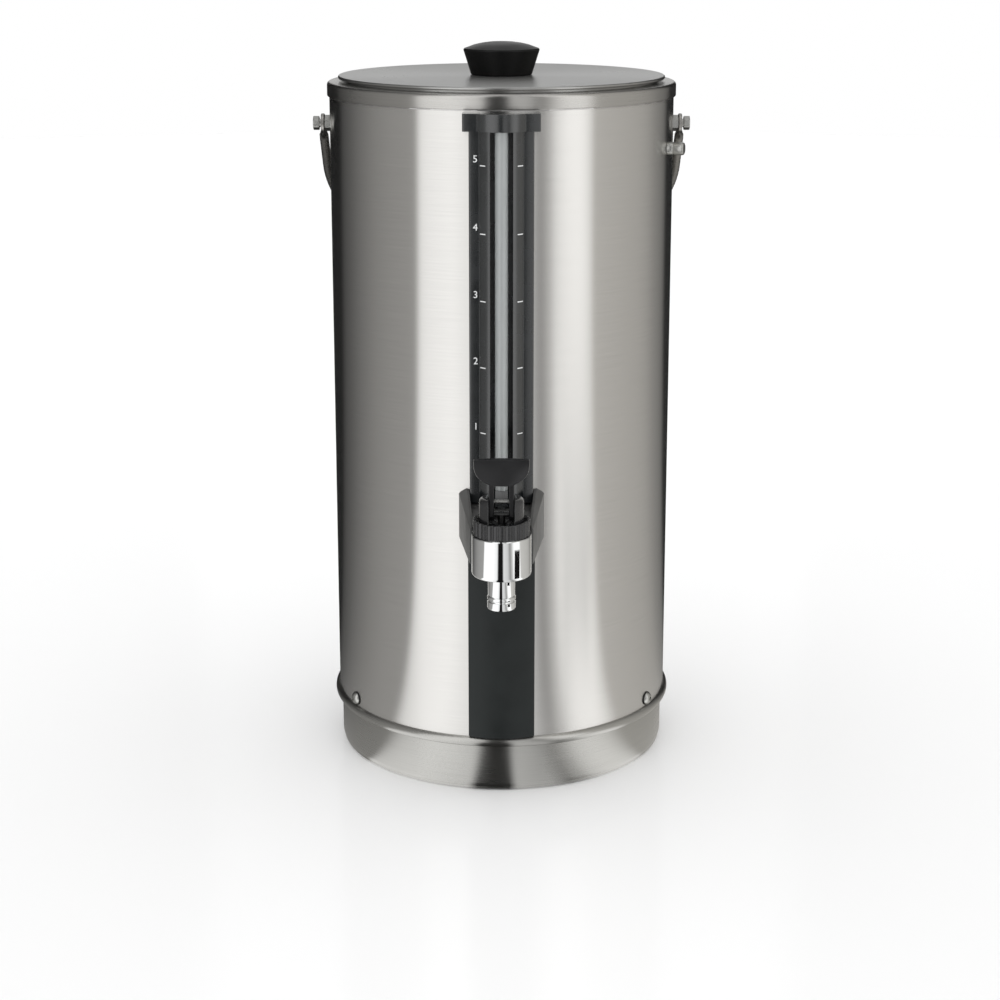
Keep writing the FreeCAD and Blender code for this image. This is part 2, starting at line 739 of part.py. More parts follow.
def make_ring_nut():
    """A knurled nut: flutes round the outside, a lip that clamps the bonnet, and a recess above it."""
    top = barrel_top + ring_nut_h
    points = []
    for i in range(flute_count * 4):
        deep = flute_depth if i % 4 > 1 else 0.0
        turn = 2 * math.pi * i / (flute_count * 4)
        points.append(((ring_nut_r - deep) * math.sin(turn), tap_y - (ring_nut_r - deep) * math.cos(turn)))
    nut = prism_z(points, barrel_top + washer_gap, top)
    lip_low = flange_top + running_gap
    recess = [(0, barrel_top), (spigot_r + running_gap, barrel_top), (spigot_r + running_gap, lip_low),
              (bonnet_r + fit_gap, lip_low), (bonnet_r + fit_gap, lip_low + ring_nut_lip),
              (ring_nut_r - ring_nut_wall, lip_low + ring_nut_lip), (ring_nut_r - ring_nut_wall, top + 1), (0, top + 1)]
    save("tap_ring_nut", nut.cut(turned(recess, medium_sides, tap_y)))


def make_bonnet():
    shoulder = bonnet_shoulder
    outline = [(0, spigot_top), (spigot_r, spigot_top), (spigot_r, flange_top), (bonnet_r, flange_top),
               (bonnet_r, bonnet_top - shoulder), (bonnet_r - shoulder * 0.3, bonnet_top - shoulder * 0.3),
               (bonnet_r - shoulder, bonnet_top), (0, bonnet_top)]
    slot = block(-bonnet_slot_half_w, bonnet_slot_half_w, tap_y - 20, tap_y + 20, bonnet_slot_floor, bonnet_top + 1)
    bonnet = turned(outline, medium_sides, tap_y).cut(slot)
    stem_way = upright_round(small_sides, stem_r + running_gap, spigot_top - 1, bonnet_slot_floor + 1, tap_y)
    save("tap_bonnet", bonnet.cut(stem_way).cut(cross_round(pin_r, -bonnet_r, bonnet_r, tap_y, pivot_z)))
    save("lever_pin", cross_round(pin_r, -pin_half_length, pin_half_length, tap_y, pivot_z))


def crossbar_in_lever(share):
    """Where the stem's crossbar lies in the lever's frame, as (y, z) from the pivot, at a share of the travel."""
    turn = math.radians(lever_travel * share)
    drop = crossbar_drop - valve_lift * share
    return -drop * math.sin(turn), -drop * math.cos(turn)


def cam_slot_outline():
    """The curved slot in the lever's arms that lifts the stem's crossbar as the lever tilts."""
    r = crossbar_r + slot_clearance
    steps = 5
    path = [crossbar_in_lever(i / steps) for i in range(steps + 1)]
    one_side = []
    other_side = []
    for i, (y, z) in enumerate(path):
        before = path[max(i - 1, 0)]
        after = path[min(i + 1, steps)]
        length = math.hypot(after[0] - before[0], after[1] - before[1])
        across_y = -(after[1] - before[1]) * r / length
        across_z = (after[0] - before[0]) * r / length
        one_side.append((y + across_y, z + across_z))
        other_side.append((y - across_y, z - across_z))
    ends = []
    for (y, z), (next_y, next_z) in ((path[-1], path[-2]), (path[0], path[1])):
        length = math.hypot(y - next_y, z - next_z)
        along_y = (y - next_y) * r / length
        along_z = (z - next_z) * r / length
        cap = []
        for turn in (45, 0, -45):
            cos_turn = math.cos(math.radians(turn))
            sin_turn = math.sin(math.radians(turn))
            reach = 1.0 / math.cos(math.radians(22.5))
            cap.append((y + reach * (along_y * cos_turn - along_z * sin_turn),
                        z + reach * (along_y * sin_turn + along_z * cos_turn)))
        ends.append(cap)
    outline = one_side + ends[0] + other_side[::-1] + ends[1]
    return [(tap_y + y, pivot_z + z) for y, z in outline]


def paddle_outline():
    """Right half of the paddle from its foot to its top, as (x, z): a shield with a curved lower corner."""
    low_x = paddle_bottom_half_w - paddle_corner
    points = [(low_x + paddle_corner * math.sin(math.radians(a)),
               paddle_bottom + paddle_corner * (1 - math.cos(math.radians(a)))) for a in (0, 30, 60, 80)]
    points += [(paddle_top_half_w, paddle_top - 1.2), (paddle_top_half_w - 1.2, paddle_top)]
    return points


def make_lever():
    reach = crossbar_drop + crossbar_r + slot_clearance + 1.3
    rise = paddle_bottom + 1 - pivot_z
    back = paddle_t - paddle_front
    arm = [(-cam_front, -reach + 3.2), (-cam_front + 2.4, -reach), (cam_back - 2, -reach), (cam_back, -reach + 2.0),
           (cam_back, 4.0), (back, rise), (-paddle_front, rise), (-cam_front, 2.0)]
    outline = [(tap_y + y, pivot_z + z) for y, z in arm]
    arms = [prism_x(outline, x0, x1) for x0, x1 in ((-arm_outer, -arm_inner), (arm_inner, arm_outer))]
    right = paddle_outline()
    points = right + [(-x, z) for x, z in right[::-1]]
    front = tap_y - paddle_front
    wire = Part.makePolygon([Vector(x, front, z) for x, z in points + points[:1]])
    paddle = Part.Face(wire).extrude(Vector(0, paddle_t, 0))
    bevel = prism_x([(front, paddle_top), (front, paddle_top - 1.2), (front + 1.2, paddle_top)], -40, 40)
    lever = fused([paddle.cut(bevel)] + arms)
    past_arms = arm_outer + 1
    lever = lever.cut(cross_round(pin_r + running_gap, -past_arms, past_arms, tap_y, pivot_z))
    save("tap_lever", lever.cut(prism_x(cam_slot_outline(), -past_arms, past_arms)))


def make_valve():
    stem_foot = cup_top - stem_in_cup
    half = arm_outer - running_gap
    crossbar = cross_round(crossbar_r, -half, half, tap_y, crossbar_z)
    save("valve_stem", upright_round(small_sides, stem_r, stem_foot, crossbar_z, tap_y).fuse(crossbar))
    outline = [(0, cup_bottom), (cup_r, cup_bottom), (cup_r, cup_bottom + 2.2), (cup_r - 4.0, cup_top)]
    cup = turned(outline + [(0, cup_top)], small_sides, tap_y)
    save("valve_cup", cup.cut(upright_round(small_sides, stem_r, stem_foot, cup_top + 1, tap_y)))


def make_spring():
    """The closing spring, a wire of square section along a helix drawn with chords."""
    coil_r = spring_r - spring_wire / 2
    z0 = cup_top + spring_wire
    pitch = (spigot_top - spring_wire - z0) / spring_turns
    chords = 10
    path = []
    for i in range(spring_turns * chords + 1):
        turn = 2 * math.pi * i / chords
        path.append(Vector(coil_r * math.cos(turn), coil_r * math.sin(turn) + tap_y, z0 + pitch * i / chords))
    section = []
    half = spring_wire / 2
    for dr, dz in ((-half, -half), (half, -half), (half, half), (-half, half), (-half, -half)):
        section.append(path[0] + Vector(dr, 0, dz))
    wire = Part.makePolygon(path)
    coil = wire.makePipeShell([Part.makePolygon(section)], True, True, 1)
    save("tap_spring", coil)


def make_shank_fittings():
    z0 = shank_z - 30
    z1 = shank_z + 30
    bore = shank_space(0)
    seal_low = barrel_bottom + neck_above_barrel_foot + neck_slope_h
    seal = block(-neck_half_w, neck_half_w, neck_back, -jacket_r + 4, seal_low, neck_top).cut(bore)
    save("neck_gasket", seal.cut(jacket_space(z0, z1)))
    spacer = small_round(shank_r + 2.5, Vector(0, -jacket_r, shank_z), Vector(0, -vessel_r, shank_z))
    spacer = spacer.common(upright_round(large_sides, jacket_bore - running_gap, z0, z1))
    spacer = spacer.cut(upright_round(large_sides, vessel_outer + running_gap, z0, z1))
    save("shank_spacer", spacer.cut(bore))
    nut_face = -(vessel_r - 2.5)
    washer = small_round(nut_flats / 2 - 1, Vector(0, -vessel_outer, shank_z), Vector(0, nut_face, shank_z))
    washer = washer.common(upright_round(large_sides, vessel_r - running_gap, z0, z1))
    save("vessel_gasket", washer.cut(bore))
    nut = hexagon(nut_flats, Vector(0, nut_face, shank_z), Vector(0, nut_face + nut_h, shank_z))
    save("shank_nut", nut.cut(bore))


def bail_upright():
    """The bail standing straight up from its pivot, which is at the origin."""
    arch = arc_points(0, bail_leg, bail_half_w, 0, 180, arch_chords)
    path = [Vector(r, 0, z) for r, z in [(bail_half_w, eye_neck)] + arch + [(-bail_half_w, eye_neck)]]
    section = Part.makePolygon([p + path[0] for p in regular_points(rod_sides, bail_rod_r)])
    pieces = [Part.makePolygon(path).makePipeShell([section], True, False, 1)]
    half = eye_t / 2
    for side in (-1, 1):
        x = side * eye_x
        flat = small_round(eye_r, Vector(x - half, 0, 0), Vector(x + half, 0, 0))
        low = [Vector(x - half, -eye_r * 0.75, 3), Vector(x + half, -eye_r * 0.75, 3),
               Vector(x + half, eye_r * 0.75, 3), Vector(x - half, eye_r * 0.75, 3)]
        wide = bail_rod_r * 0.9
        mid = side * bail_half_w
        high = [Vector(mid - wide, -wide * 0.7, eye_neck), Vector(mid + wide, -wide * 0.7, eye_neck),
                Vector(mid + wide, wide * 0.7, eye_neck), Vector(mid - wide, wide * 0.7, eye_neck)]
        taper = Part.makeLoft([Part.makePolygon(low + low[:1]), Part.makePolygon(high + high[:1])], True, True)
        pieces.extend([flat, taper])
    past_eyes = bail_half_w + eye_r
    return fused(pieces).cut(cross_round(pivot_bolt_r + pivot_clearance, -past_eyes, past_eyes, 0, 0))


def make_bail():
    bail = bail_upright()
    bail.rotate(Vector(0, 0, 0), Vector(1, 0, 0), bail_hang - 180)
    bail.translate(Vector(0, 0, bail_pivot_z))
    save("bail_handle", bail)
    bolts = []
    spacers = []
    nuts = []
    head_in = eye_out + bolt_end_float
    z = bail_pivot_z
    bore = hidden_hole(pivot_bolt_r, Vector(-eye_in, 0, z), Vector(eye_in, 0, z))
    for side in (-1, 1):
        shank = cross_round(pivot_bolt_r, side * (nut_face_r - inner_nut_h - 2), side * head_in, 0, z)
        head = hexagon(bolt_head_flats, Vector(side * head_in, 0, z), Vector(side * (head_in + bolt_head_h), 0, z))
        bolts.append(shank.fuse(head))
        spacer = hexagon(spacer_flats, Vector(side * (jacket_r + running_gap), 0, z),
                         Vector(side * (eye_in - fit_gap), 0, z))
        spacers.append(spacer.cut(bore))
        nut = hexagon(inner_nut_flats, Vector(side * nut_face_r, 0, z),
                      Vector(side * (nut_face_r - inner_nut_h), 0, z))
        nuts.append(nut.cut(bore))
    save("bail_pivot_bolts", Part.makeCompound(bolts))
    save("bail_spacers", Part.makeCompound(spacers))
    save("bail_nuts", Part.makeCompound(nuts))


def make_bail_stop():
    near = jacket_r + washer_gap
    groove_at = near + stop_out * 0.35
    tip = near + stop_out
    outline = [(0, near), (stop_r, near), (stop_r, groove_at), (stop_r - 0.4, groove_at + 0.3),
               (stop_r, groove_at + 0.6), (stop_r, tip - stop_tip_round), (stop_r - stop_tip_round, tip), (0, tip)]
    peg = turned([(r, z - near) for r, z in outline], small_sides)
    peg = set_along(peg, on_radius(stop_azimuth, near, stop_z), outward(stop_azimuth))
    inner_end = on_radius(stop_azimuth, nut_face_r - inner_nut_h - 2, stop_z)
    shank = hidden_bar(pivot_bolt_r, inner_end, on_radius(stop_azimuth, near + 0.5, stop_z))
    save("bail_stop", peg.fuse(shank))
    nut = hexagon(inner_nut_flats, on_radius(stop_azimuth, nut_face_r - inner_nut_h, stop_z),
                  on_radius(stop_azimuth, nut_face_r, stop_z))
    save("bail_stop_nut", nut.cut(shank))


def stud_places():
    places = []
    for i in range(stud_count):
        turn = math.radians(90 + i * 360.0 / stud_count)
        places.append((stud_circle_r * math.cos(turn), stud_circle_r * math.sin(turn)))
    return places


def plate_with_arms(reach, z0, z1):
    """A flat plate with a cut-off arm out to each stud."""
    points = []
    for x, y in stud_places():
        way = Vector(x, y, 0).normalize()
        across = Vector(-way.y, way.x, 0)
        for side in (-1, 1):
            corner = way * reach + across * (side * arm_half_w)
            points.append((corner.x, corner.y))
    return prism_z(points, z0, z1)


def make_heater():
    hole = upright_round(small_sides, heater_inner_r, heater_bottom, vessel_floor_z)
    save("heater_ring", upright_round(small_sides, heater_r, heater_bottom, vessel_floor_z).cut(hole))
    clamp = plate_with_arms(stud_circle_r + arm_past_stud, clamp_bottom, heater_bottom)
    clamp = clamp.cut(upright_round(hidden_sides, clamp_hole_r, clamp_bottom - 1, heater_bottom + 1))
    shield = upright_round(small_sides, shield_r, shield_z, shield_z + shield_t)
    studs = []
    nuts = []
    for x, y in stud_places():
        stud = hidden_bar(heater_stud_r, Vector(x, y, shield_z - 7), Vector(x, y, vessel_floor_z))
        clamp = clamp.cut(stud)
        shield = shield.cut(stud)
        studs.append(stud)
        for bottom in (clamp_bottom - heater_nut_h, shield_z + shield_t, shield_z - heater_nut_h):
            nut = hexagon(heater_nut_flats, Vector(x, y, bottom), Vector(x, y, bottom + heater_nut_h))
            nuts.append(nut.cut(stud))
    save("heater_clamp_plate", clamp)
    save("heat_shield", shield)
    save("heater_studs", Part.makeCompound(studs))
    save("heater_nuts", Part.makeCompound(nuts))


def make_sensor(name, x):
    low = vessel_floor_z - sensor_drop
    cap = hidden_bar(sensor_r, Vector(x, 0, low + 4), Vector(x, 0, vessel_floor_z))
    base = hidden_bar(sensor_r - 1.2, Vector(x, 0, low), Vector(x, 0, low + 4.1))
    save(name, fused([cap, base]))


def make_sensor_bridge():
    top = vessel_floor_z - sensor_drop
    half = bridge_depth / 2
    plate = block(-bridge_half_w, bridge_half_w, -half, half, top - bridge_t, top)
    legs = [block(x0, x0 + bridge_t, -half, half, top - bridge_t, clamp_bottom)
            for x0 in (-bridge_half_w, bridge_half_w - bridge_t)]
    save("sensor_bridge", fused([plate] + legs))


def make_terminal_block():
    low = shield_z - terminal_h
    body = block(-terminal_w / 2, terminal_w / 2, -terminal_d / 2, terminal_d / 2, low, shield_z)
    pitch = terminal_w / terminal_ways
    for i in range(terminal_ways):
        x = -terminal_w / 2 + pitch * (i + 0.5)
        body = body.cut(block(x - 2, x + 2, -terminal_d, terminal_d, low + 4, low + 8))
        body = body.cut(block(x - 1.5, x + 1.5, -1.5, 1.5, low - 1, low + 5))
    save("terminal_block", body)


def inlet_body(gap):
    return block(-inlet_w / 2 - gap, inlet_w / 2 + gap, inlet_front - inlet_depth, inlet_front,
                 inlet_z - inlet_h / 2 - gap, inlet_z + inlet_h / 2 + gap)


def inlet_screw(side):
    x = side * inlet_screw_x
    return hidden_bar(inlet_screw_r, Vector(x, jacket_r - 1.3, inlet_z), Vector(x, inlet_front, inlet_z))


def make_mains_inlet():
    half_w = inlet_flange_w / 2
    half_h = inlet_h / 2
    cut = 3.0
    outline = [(-half_w + cut, -half_h), (half_w - cut, -half_h), (half_w, -half_h + cut), (half_w, half_h - cut),
               (half_w - cut, half_h), (-half_w + cut, half_h), (-half_w, half_h - cut), (-half_w, -half_h + cut)]
    wire = Part.makePolygon([Vector(x, jacket_r - 8, inlet_z + z) for x, z in outline + outline[:1]])
    flange = Part.Face(wire).extrude(Vector(0, 8 + inlet_flange_proud, 0))
    flange = flange.cut(jacket_space(inlet_z - inlet_h, inlet_z + inlet_h))
    mouth_w = inlet_mouth_w / 2
    mouth_h = inlet_mouth_h / 2
    bevel = 4.0
    mouth = [(-mouth_w, -mouth_h), (mouth_w, -mouth_h), (mouth_w, mouth_h - bevel), (mouth_w - bevel, mouth_h),
             (-mouth_w + bevel, mouth_h), (-mouth_w, mouth_h - bevel)]
    back = inlet_front - inlet_mouth_depth
    wire = Part.makePolygon([Vector(x, back, inlet_z + z) for x, z in mouth + mouth[:1]])
    inlet = flange.fuse(inlet_body(0)).cut(Part.Face(wire).extrude(Vector(0, inlet_mouth_depth + 1, 0)))
    screws = []
    for side in (-1, 1):
        shank = inlet_screw(side)
        inlet = inlet.cut(shank)
        x = side * inlet_screw_x
        head = hidden_bar(inlet_screw_r * 1.9, Vector(x, inlet_front, inlet_z), Vector(x, inlet_front + 1.4, inlet_z))
        cross = block(x - 0.4, x + 0.4, inlet_front + 0.7, inlet_front + 2, inlet_z - 4, inlet_z + 4)
        screws.append(fused([head, shank]).cut(cross))
    save("mains_inlet", inlet)
    save("inlet_screws", Part.makeCompound(screws))
    pins = []
    for x, z in ((-7.0, -2.0), (0.0, 2.0), (7.0, -2.0)):
        pins.append(block(x - 1.0, x + 1.0, back, back + inlet_pin_l, inlet_z + z - 2.0, inlet_z + z + 2.0))
    save("inlet_pins", Part.makeCompound(pins))


make_base_pan()
make_outer_jacket()
make_inner_vessel()
make_rim_collar()
make_insulation()
make_base_screws()
make_lid()
make_knob()
make_gauge_strip()
make_gauge_top_cap()
make_gauge_glass()
make_lower_strip()
make_tap_shroud()
make_tap_body()
make_tap_nozzle()
make_ring_nut()
make_bonnet()
make_lever()
make_valve()
make_spring()
make_shank_fittings()
make_bail()
make_bail_stop()
make_heater()
make_sensor("thermostat", -sensor_x)
make_sensor("thermal_cutout", sensor_x)
make_sensor_bridge()
make_terminal_block()
make_mains_inlet()
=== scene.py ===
import math

import bmesh
import bpy
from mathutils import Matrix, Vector


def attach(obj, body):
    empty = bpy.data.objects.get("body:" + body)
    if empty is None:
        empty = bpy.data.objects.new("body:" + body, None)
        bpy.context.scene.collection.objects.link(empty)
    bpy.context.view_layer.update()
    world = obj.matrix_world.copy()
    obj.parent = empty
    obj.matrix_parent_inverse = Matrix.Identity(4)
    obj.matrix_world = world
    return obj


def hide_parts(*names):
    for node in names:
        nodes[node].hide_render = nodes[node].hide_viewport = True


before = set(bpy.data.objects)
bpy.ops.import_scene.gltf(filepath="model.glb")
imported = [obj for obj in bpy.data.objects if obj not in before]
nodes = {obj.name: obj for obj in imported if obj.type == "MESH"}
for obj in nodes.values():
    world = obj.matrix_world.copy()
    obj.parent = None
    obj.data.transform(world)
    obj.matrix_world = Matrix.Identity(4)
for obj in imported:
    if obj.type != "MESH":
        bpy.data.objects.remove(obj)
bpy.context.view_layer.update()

MM = 0.001

# Sizes in millimetres that several pieces share
BODY_R = 110.0
JACKET_LOW = 37.0
JACKET_TOP = 431.0
COLLAR_TOP = 440.7
LID_R = 104.3
LID_LOW = 440.8
LID_TOP = 444.4
STRIP_SEAT_R = BODY_R + 0.05
STRIP_FACE = BODY_R + 2.8
BULGE_R = 17.0
BULGE_MID = STRIP_FACE + 6.4 - BULGE_R
TAP_Y = -150.0
TAP_AT = (0.0, TAP_Y)
BARREL_R = 18.0
BARREL_LOW = 158.0
NECK_R = 15.1
BORE_R = 6.4
BONNET_LOW = 186.7
PIN_Z = 203.5
PIVOT_Z = 413.4

# How many sides the rounds have
BODY_SIDES = 256
TAP_SIDES = 96
ROD_SIDES = 24


# Shader nodes

def new_material(name):
    mat = bpy.data.materials.new(name)
    mat.use_nodes = True
    tree = mat.node_tree
    return mat, tree, tree.nodes["Principled BSDF"]


def add(tree, kind, **values):
    node = tree.nodes.new(kind)
    for key, value in values.items():
        setattr(node, key, value)
    return node


def math_node(tree, operation, *inputs):
    """A math node whose inputs are numbers or the outputs of other nodes."""
    node = add(tree, "ShaderNodeMath", operation=operation)
    for socket, value in zip(node.inputs, inputs):
        if isinstance(value, (int, float)):
            socket.default_value = value
        else:
            tree.links.new(value, socket)
    return node.outputs[0]


def place_of(tree):
    """The place on the object, split into X, Y and Z."""
    coords = add(tree, "ShaderNodeTexCoord")
    split = add(tree, "ShaderNodeSeparateXYZ")
    tree.links.new(coords.outputs["Object"], split.inputs[0])
    return split.outputs


def object_coords(tree, scale=(1, 1, 1)):
    coords = add(tree, "ShaderNodeTexCoord")
    mapping = add(tree, "ShaderNodeMapping")
    mapping.inputs["Scale"].default_value = scale
    tree.links.new(coords.outputs["Object"], mapping.inputs["Vector"])
    return mapping.outputs["Vector"]


def round_coords(tree, along, up):
    """Coordinates round the upright axis, up it and out from it, for grain drawn out round the body."""
    place = place_of(tree)
    flat = add(tree, "ShaderNodeCombineXYZ")
    radius = add(tree, "ShaderNodeVectorMath", operation="LENGTH")
    turned = add(tree, "ShaderNodeCombineXYZ")
    scaled = add(tree, "ShaderNodeVectorMath", operation="MULTIPLY")
    scaled.inputs[1].default_value = (along, up, up)
    links = tree.links
    links.new(place["X"], flat.inputs["X"])
    links.new(place["Y"], flat.inputs["Y"])
    links.new(flat.outputs[0], radius.inputs[0])
    links.new(math_node(tree, "ARCTAN2", place["X"], place["Y"]), turned.inputs["X"])
    links.new(place["Z"], turned.inputs["Y"])
    links.new(radius.outputs["Value"], turned.inputs["Z"])
    links.new(turned.outputs[0], scaled.inputs[0])
    return scaled.outputs[0]


def noise(tree, vector, scale, detail=3.0):
    node = add(tree, "ShaderNodeTexNoise")
    node.inputs["Scale"].default_value = scale
    node.inputs["Detail"].default_value = detail
    tree.links.new(vector, node.inputs["Vector"])
    return node.outputs["Fac"]


def spread(tree, value, low, high):
    """Maps a noise value, which mostly lies between 0.3 and 0.7, to a range of numbers."""
    node = add(tree, "ShaderNodeMapRange")
    node.inputs["From Min"].default_value = 0.3
    node.inputs["From Max"].default_value = 0.7
    node.inputs["To Min"].default_value = low
    node.inputs["To Max"].default_value = high
    tree.links.new(value, node.inputs["Value"])
    return node.outputs["Result"]


def tint(tree, value, dark, light):
    node = add(tree, "ShaderNodeMix", data_type="RGBA")
    node.inputs["A"].default_value = (*dark, 1)
    node.inputs["B"].default_value = (*light, 1)
    tree.links.new(value, node.inputs["Factor"])
    return node.outputs["Result"]


def bump(tree, shader, value, strength, distance):
    node = add(tree, "ShaderNodeBump")
    node.inputs["Strength"].default_value = strength
    node.inputs["Distance"].default_value = distance
    tree.links.new(value, node.inputs["Height"])
    tree.links.new(node.outputs["Normal"], shader.inputs["Normal"])


# Materials

def brushed_steel(name, colour, roughness, anisotropy=0.75, grain=0.06, up=1800.0):
    """Steel brushed round the axis: fine drawn-out grain in colour, roughness and relief."""
    mat, tree, shader = new_material(name)
    shader.inputs["Metallic"].default_value = 1.0
    fine = noise(tree, round_coords(tree, 3.0, up), scale=1.0, detail=4.0)
    broad = noise(tree, object_coords(tree, (6, 6, 1.5)), scale=3.0)
    dark = [c * (1 - grain) for c in colour]
    light = [min(c * (1 + grain), 1) for c in colour]
    tree.links.new(tint(tree, spread(tree, fine, 0, 1), dark, light), shader.inputs["Base Color"])
    mixed = math_node(tree, "MULTIPLY_ADD", fine, 0.5, broad)
    uneven = spread(tree, mixed, roughness * 0.9, roughness * 1.12)
    tree.links.new(uneven, shader.inputs["Roughness"])
    shader.inputs["Anisotropic"].default_value = anisotropy
    shader.inputs["Anisotropic Rotation"].default_value = 0.25
    tangent = add(tree, "ShaderNodeTangent", direction_type="RADIAL", axis="Z")
    tree.links.new(tangent.outputs[0], shader.inputs["Tangent"])
    bump(tree, shader, fine, 0.05, 0.02 * MM)
    return mat


def plain_metal(name, colour, roughness, scale=900.0, relief=0.02):
    """Metal with a fine even skin. The relief is in millimetres."""
    mat, tree, shader = new_material(name)
    shader.inputs["Metallic"].default_value = 1.0
    value = noise(tree, object_coords(tree), scale, detail=4.0)
    dark = [c * 0.93 for c in colour]
    tree.links.new(tint(tree, value, dark, colour), shader.inputs["Base Color"])
    tree.links.new(spread(tree, value, roughness * 0.85, roughness * 1.2), shader.inputs["Roughness"])
    bump(tree, shader, value, 0.08, relief * MM)
    return mat


def moulded(name, colour, roughness, relief=0.04, scale=2200.0, coat=0.0, specular=0.5):
    """Moulded plastic or rubber: a fine spark-eroded skin with slightly uneven gloss."""
    mat, tree, shader = new_material(name)
    shader.inputs["Specular IOR Level"].default_value = specular
    shader.inputs["Coat Roughness"].default_value = 0.16
    shader.inputs["Coat Weight"].default_value = coat
    fine = noise(tree, object_coords(tree), scale, detail=2.0)
    broad = noise(tree, object_coords(tree), scale=60.0)
    dark = [c * 0.82 for c in colour]
    light = [min(c * 1.15, 1) for c in colour]
    tree.links.new(tint(tree, spread(tree, broad, 0, 1), dark, light), shader.inputs["Base Color"])
    tree.links.new(spread(tree, broad, roughness * 0.85, roughness * 1.2), shader.inputs["Roughness"])
    bump(tree, shader, fine, 0.25, relief * MM)
    return mat


def clear_glass(name):
    """A slightly hazed glass tube."""
    mat, tree, shader = new_material(name)
    value = noise(tree, object_coords(tree, (1, 1, 0.05)), scale=500.0)
    shader.inputs["Transmission Weight"].default_value = 0.62
    shader.inputs["IOR"].default_value = 1.52
    shader.inputs["Specular IOR Level"].default_value = 1.0
    haze = tint(tree, value, (0.68, 0.71, 0.71), (0.76, 0.79, 0.79))
    tree.links.new(haze, shader.inputs["Base Color"])
    tree.links.new(spread(tree, value, 0.02, 0.05), shader.inputs["Roughness"])
    return mat


def printed_white(name):
    mat, tree, shader = new_material(name)
    value = noise(tree, object_coords(tree), scale=1500.0)
    ink = tint(tree, value, (0.74, 0.75, 0.75), (0.86, 0.87, 0.87))
    tree.links.new(ink, shader.inputs["Base Color"])
    tree.links.new(spread(tree, value, 0.4, 0.55), shader.inputs["Roughness"])
    return mat


STEEL = brushed_steel("jacket brushed", (0.66, 0.65, 0.63), 0.22, anisotropy=0.97, grain=0.025)
PAN_STEEL = brushed_steel("pan brushed", (0.46, 0.455, 0.435), 0.25, anisotropy=0.9, grain=0.04)
COLLAR_STEEL = brushed_steel("collar brushed", (0.50, 0.49, 0.47), 0.25, anisotropy=0.9, grain=0.04)
LID_STEEL = brushed_steel("lid turned", (0.42, 0.42, 0.41), 0.26, anisotropy=0.5, grain=0.03, up=900.0)
VESSEL_STEEL = brushed_steel("vessel brushed", (0.62, 0.61, 0.60), 0.30)
ROD_STEEL = plain_metal("drawn rod", (0.42, 0.41, 0.39), 0.28, scale=400.0)
SCREW_STEEL = plain_metal("plated screws", (0.50, 0.50, 0.48), 0.30)
# Dark plating for the base washers, and painted shade where it darkens the steel valve stem
DARK_PLATE_AND_SHADE = plain_metal("dark plating and painted shade", (0.10, 0.10, 0.10), 0.35)
CHROME = plain_metal("chrome", (0.86, 0.87, 0.87), 0.045, scale=250.0, relief=0.004)
BRASS = plain_metal("machined brass", (0.70, 0.55, 0.30), 0.30)
CAST = plain_metal("cast heater", (0.22, 0.22, 0.22), 0.55)
SHEET = plain_metal("galvanised sheet", (0.52, 0.53, 0.54), 0.42)
KNOB_BLACK = moulded("knob black", (0.004, 0.004, 0.004), 0.32, specular=0.2)
STRIP_BLACK = moulded("strip black", (0.008, 0.010, 0.011), 0.26, coat=0.8, specular=0.8)
SLOT_BLACK = moulded("slot black", (0.006, 0.007, 0.008), 0.40)
LOWER_BLACK = moulded("lower strip black", (0.012, 0.015, 0.015), 0.50, specular=0.3)
SHROUD_BLACK = moulded("shroud grey-black", (0.075, 0.075, 0.073), 0.38)
NUT_BLACK = moulded("nut black", (0.014, 0.014, 0.015), 0.24, coat=0.5)
LEVER_BLACK = moulded("lever black", (0.008, 0.008, 0.009), 0.34)
RUBBER = moulded("silicone seal", (0.28, 0.28, 0.28), 0.6)
PALE_PLASTIC = moulded("pale plastic", (0.62, 0.61, 0.57), 0.5)
BOARD = moulded("fibre board", (0.60, 0.56, 0.48), 0.9, relief=0.4, scale=700.0)
GLASS = clear_glass("gauge tube")
WHITE_PRINT = printed_white("white print")

# These pieces keep their own mesh and only get a look
NODE_LOOKS = [
    (VESSEL_STEEL, ["inner_vessel", "vessel_bottom", "lid_lugs"]),
    (SCREW_STEEL, ["base_nuts", "bail_spacers", "bail_nuts", "bail_stop_nut", "knob_screw", "heater_studs",
                   "heater_nuts", "inlet_screws", "tap_spring"]),
    (CHROME, ["tap_shank"]),
    (BRASS, ["shank_nut", "inlet_pins"]),
    (STRIP_BLACK, ["gauge_socket"]),
    # The valve stem is steel; this dark plating on it is painted shade, standing in for the shade in the
    # lever's slot
    (DARK_PLATE_AND_SHADE, ["valve_stem"]),
    (RUBBER, ["gauge_top_seal", "gauge_bottom_seal", "valve_cup", "neck_gasket", "vessel_gasket"]),
    (PALE_PLASTIC, ["shank_spacer", "terminal_block"]),
    (BOARD, ["insulation_sleeve"]),
    (CAST, ["heater_ring"]),
    (SHEET, ["heater_clamp_plate", "heat_shield", "sensor_bridge"]),
    (SLOT_BLACK, ["thermostat", "thermal_cutout", "mains_inlet"]),
]


def dress_nodes():
    for look, names in NODE_LOOKS:
        for name in names:
            nodes[name].data.materials.clear()
            nodes[name].data.materials.append(look)


# Shapes, drawn in millimetres

def between(start, end, share):
    return start + (end - start) * share


def on_circle(radius, turn):
    return radius * math.cos(turn), radius * math.sin(turn)


def outward(azimuth):
    """The way out from the upright axis, with 0 degrees at the front and 90 at the right."""
    turn = math.radians(azimuth)
    return Vector((math.sin(turn), -math.cos(turn), 0))


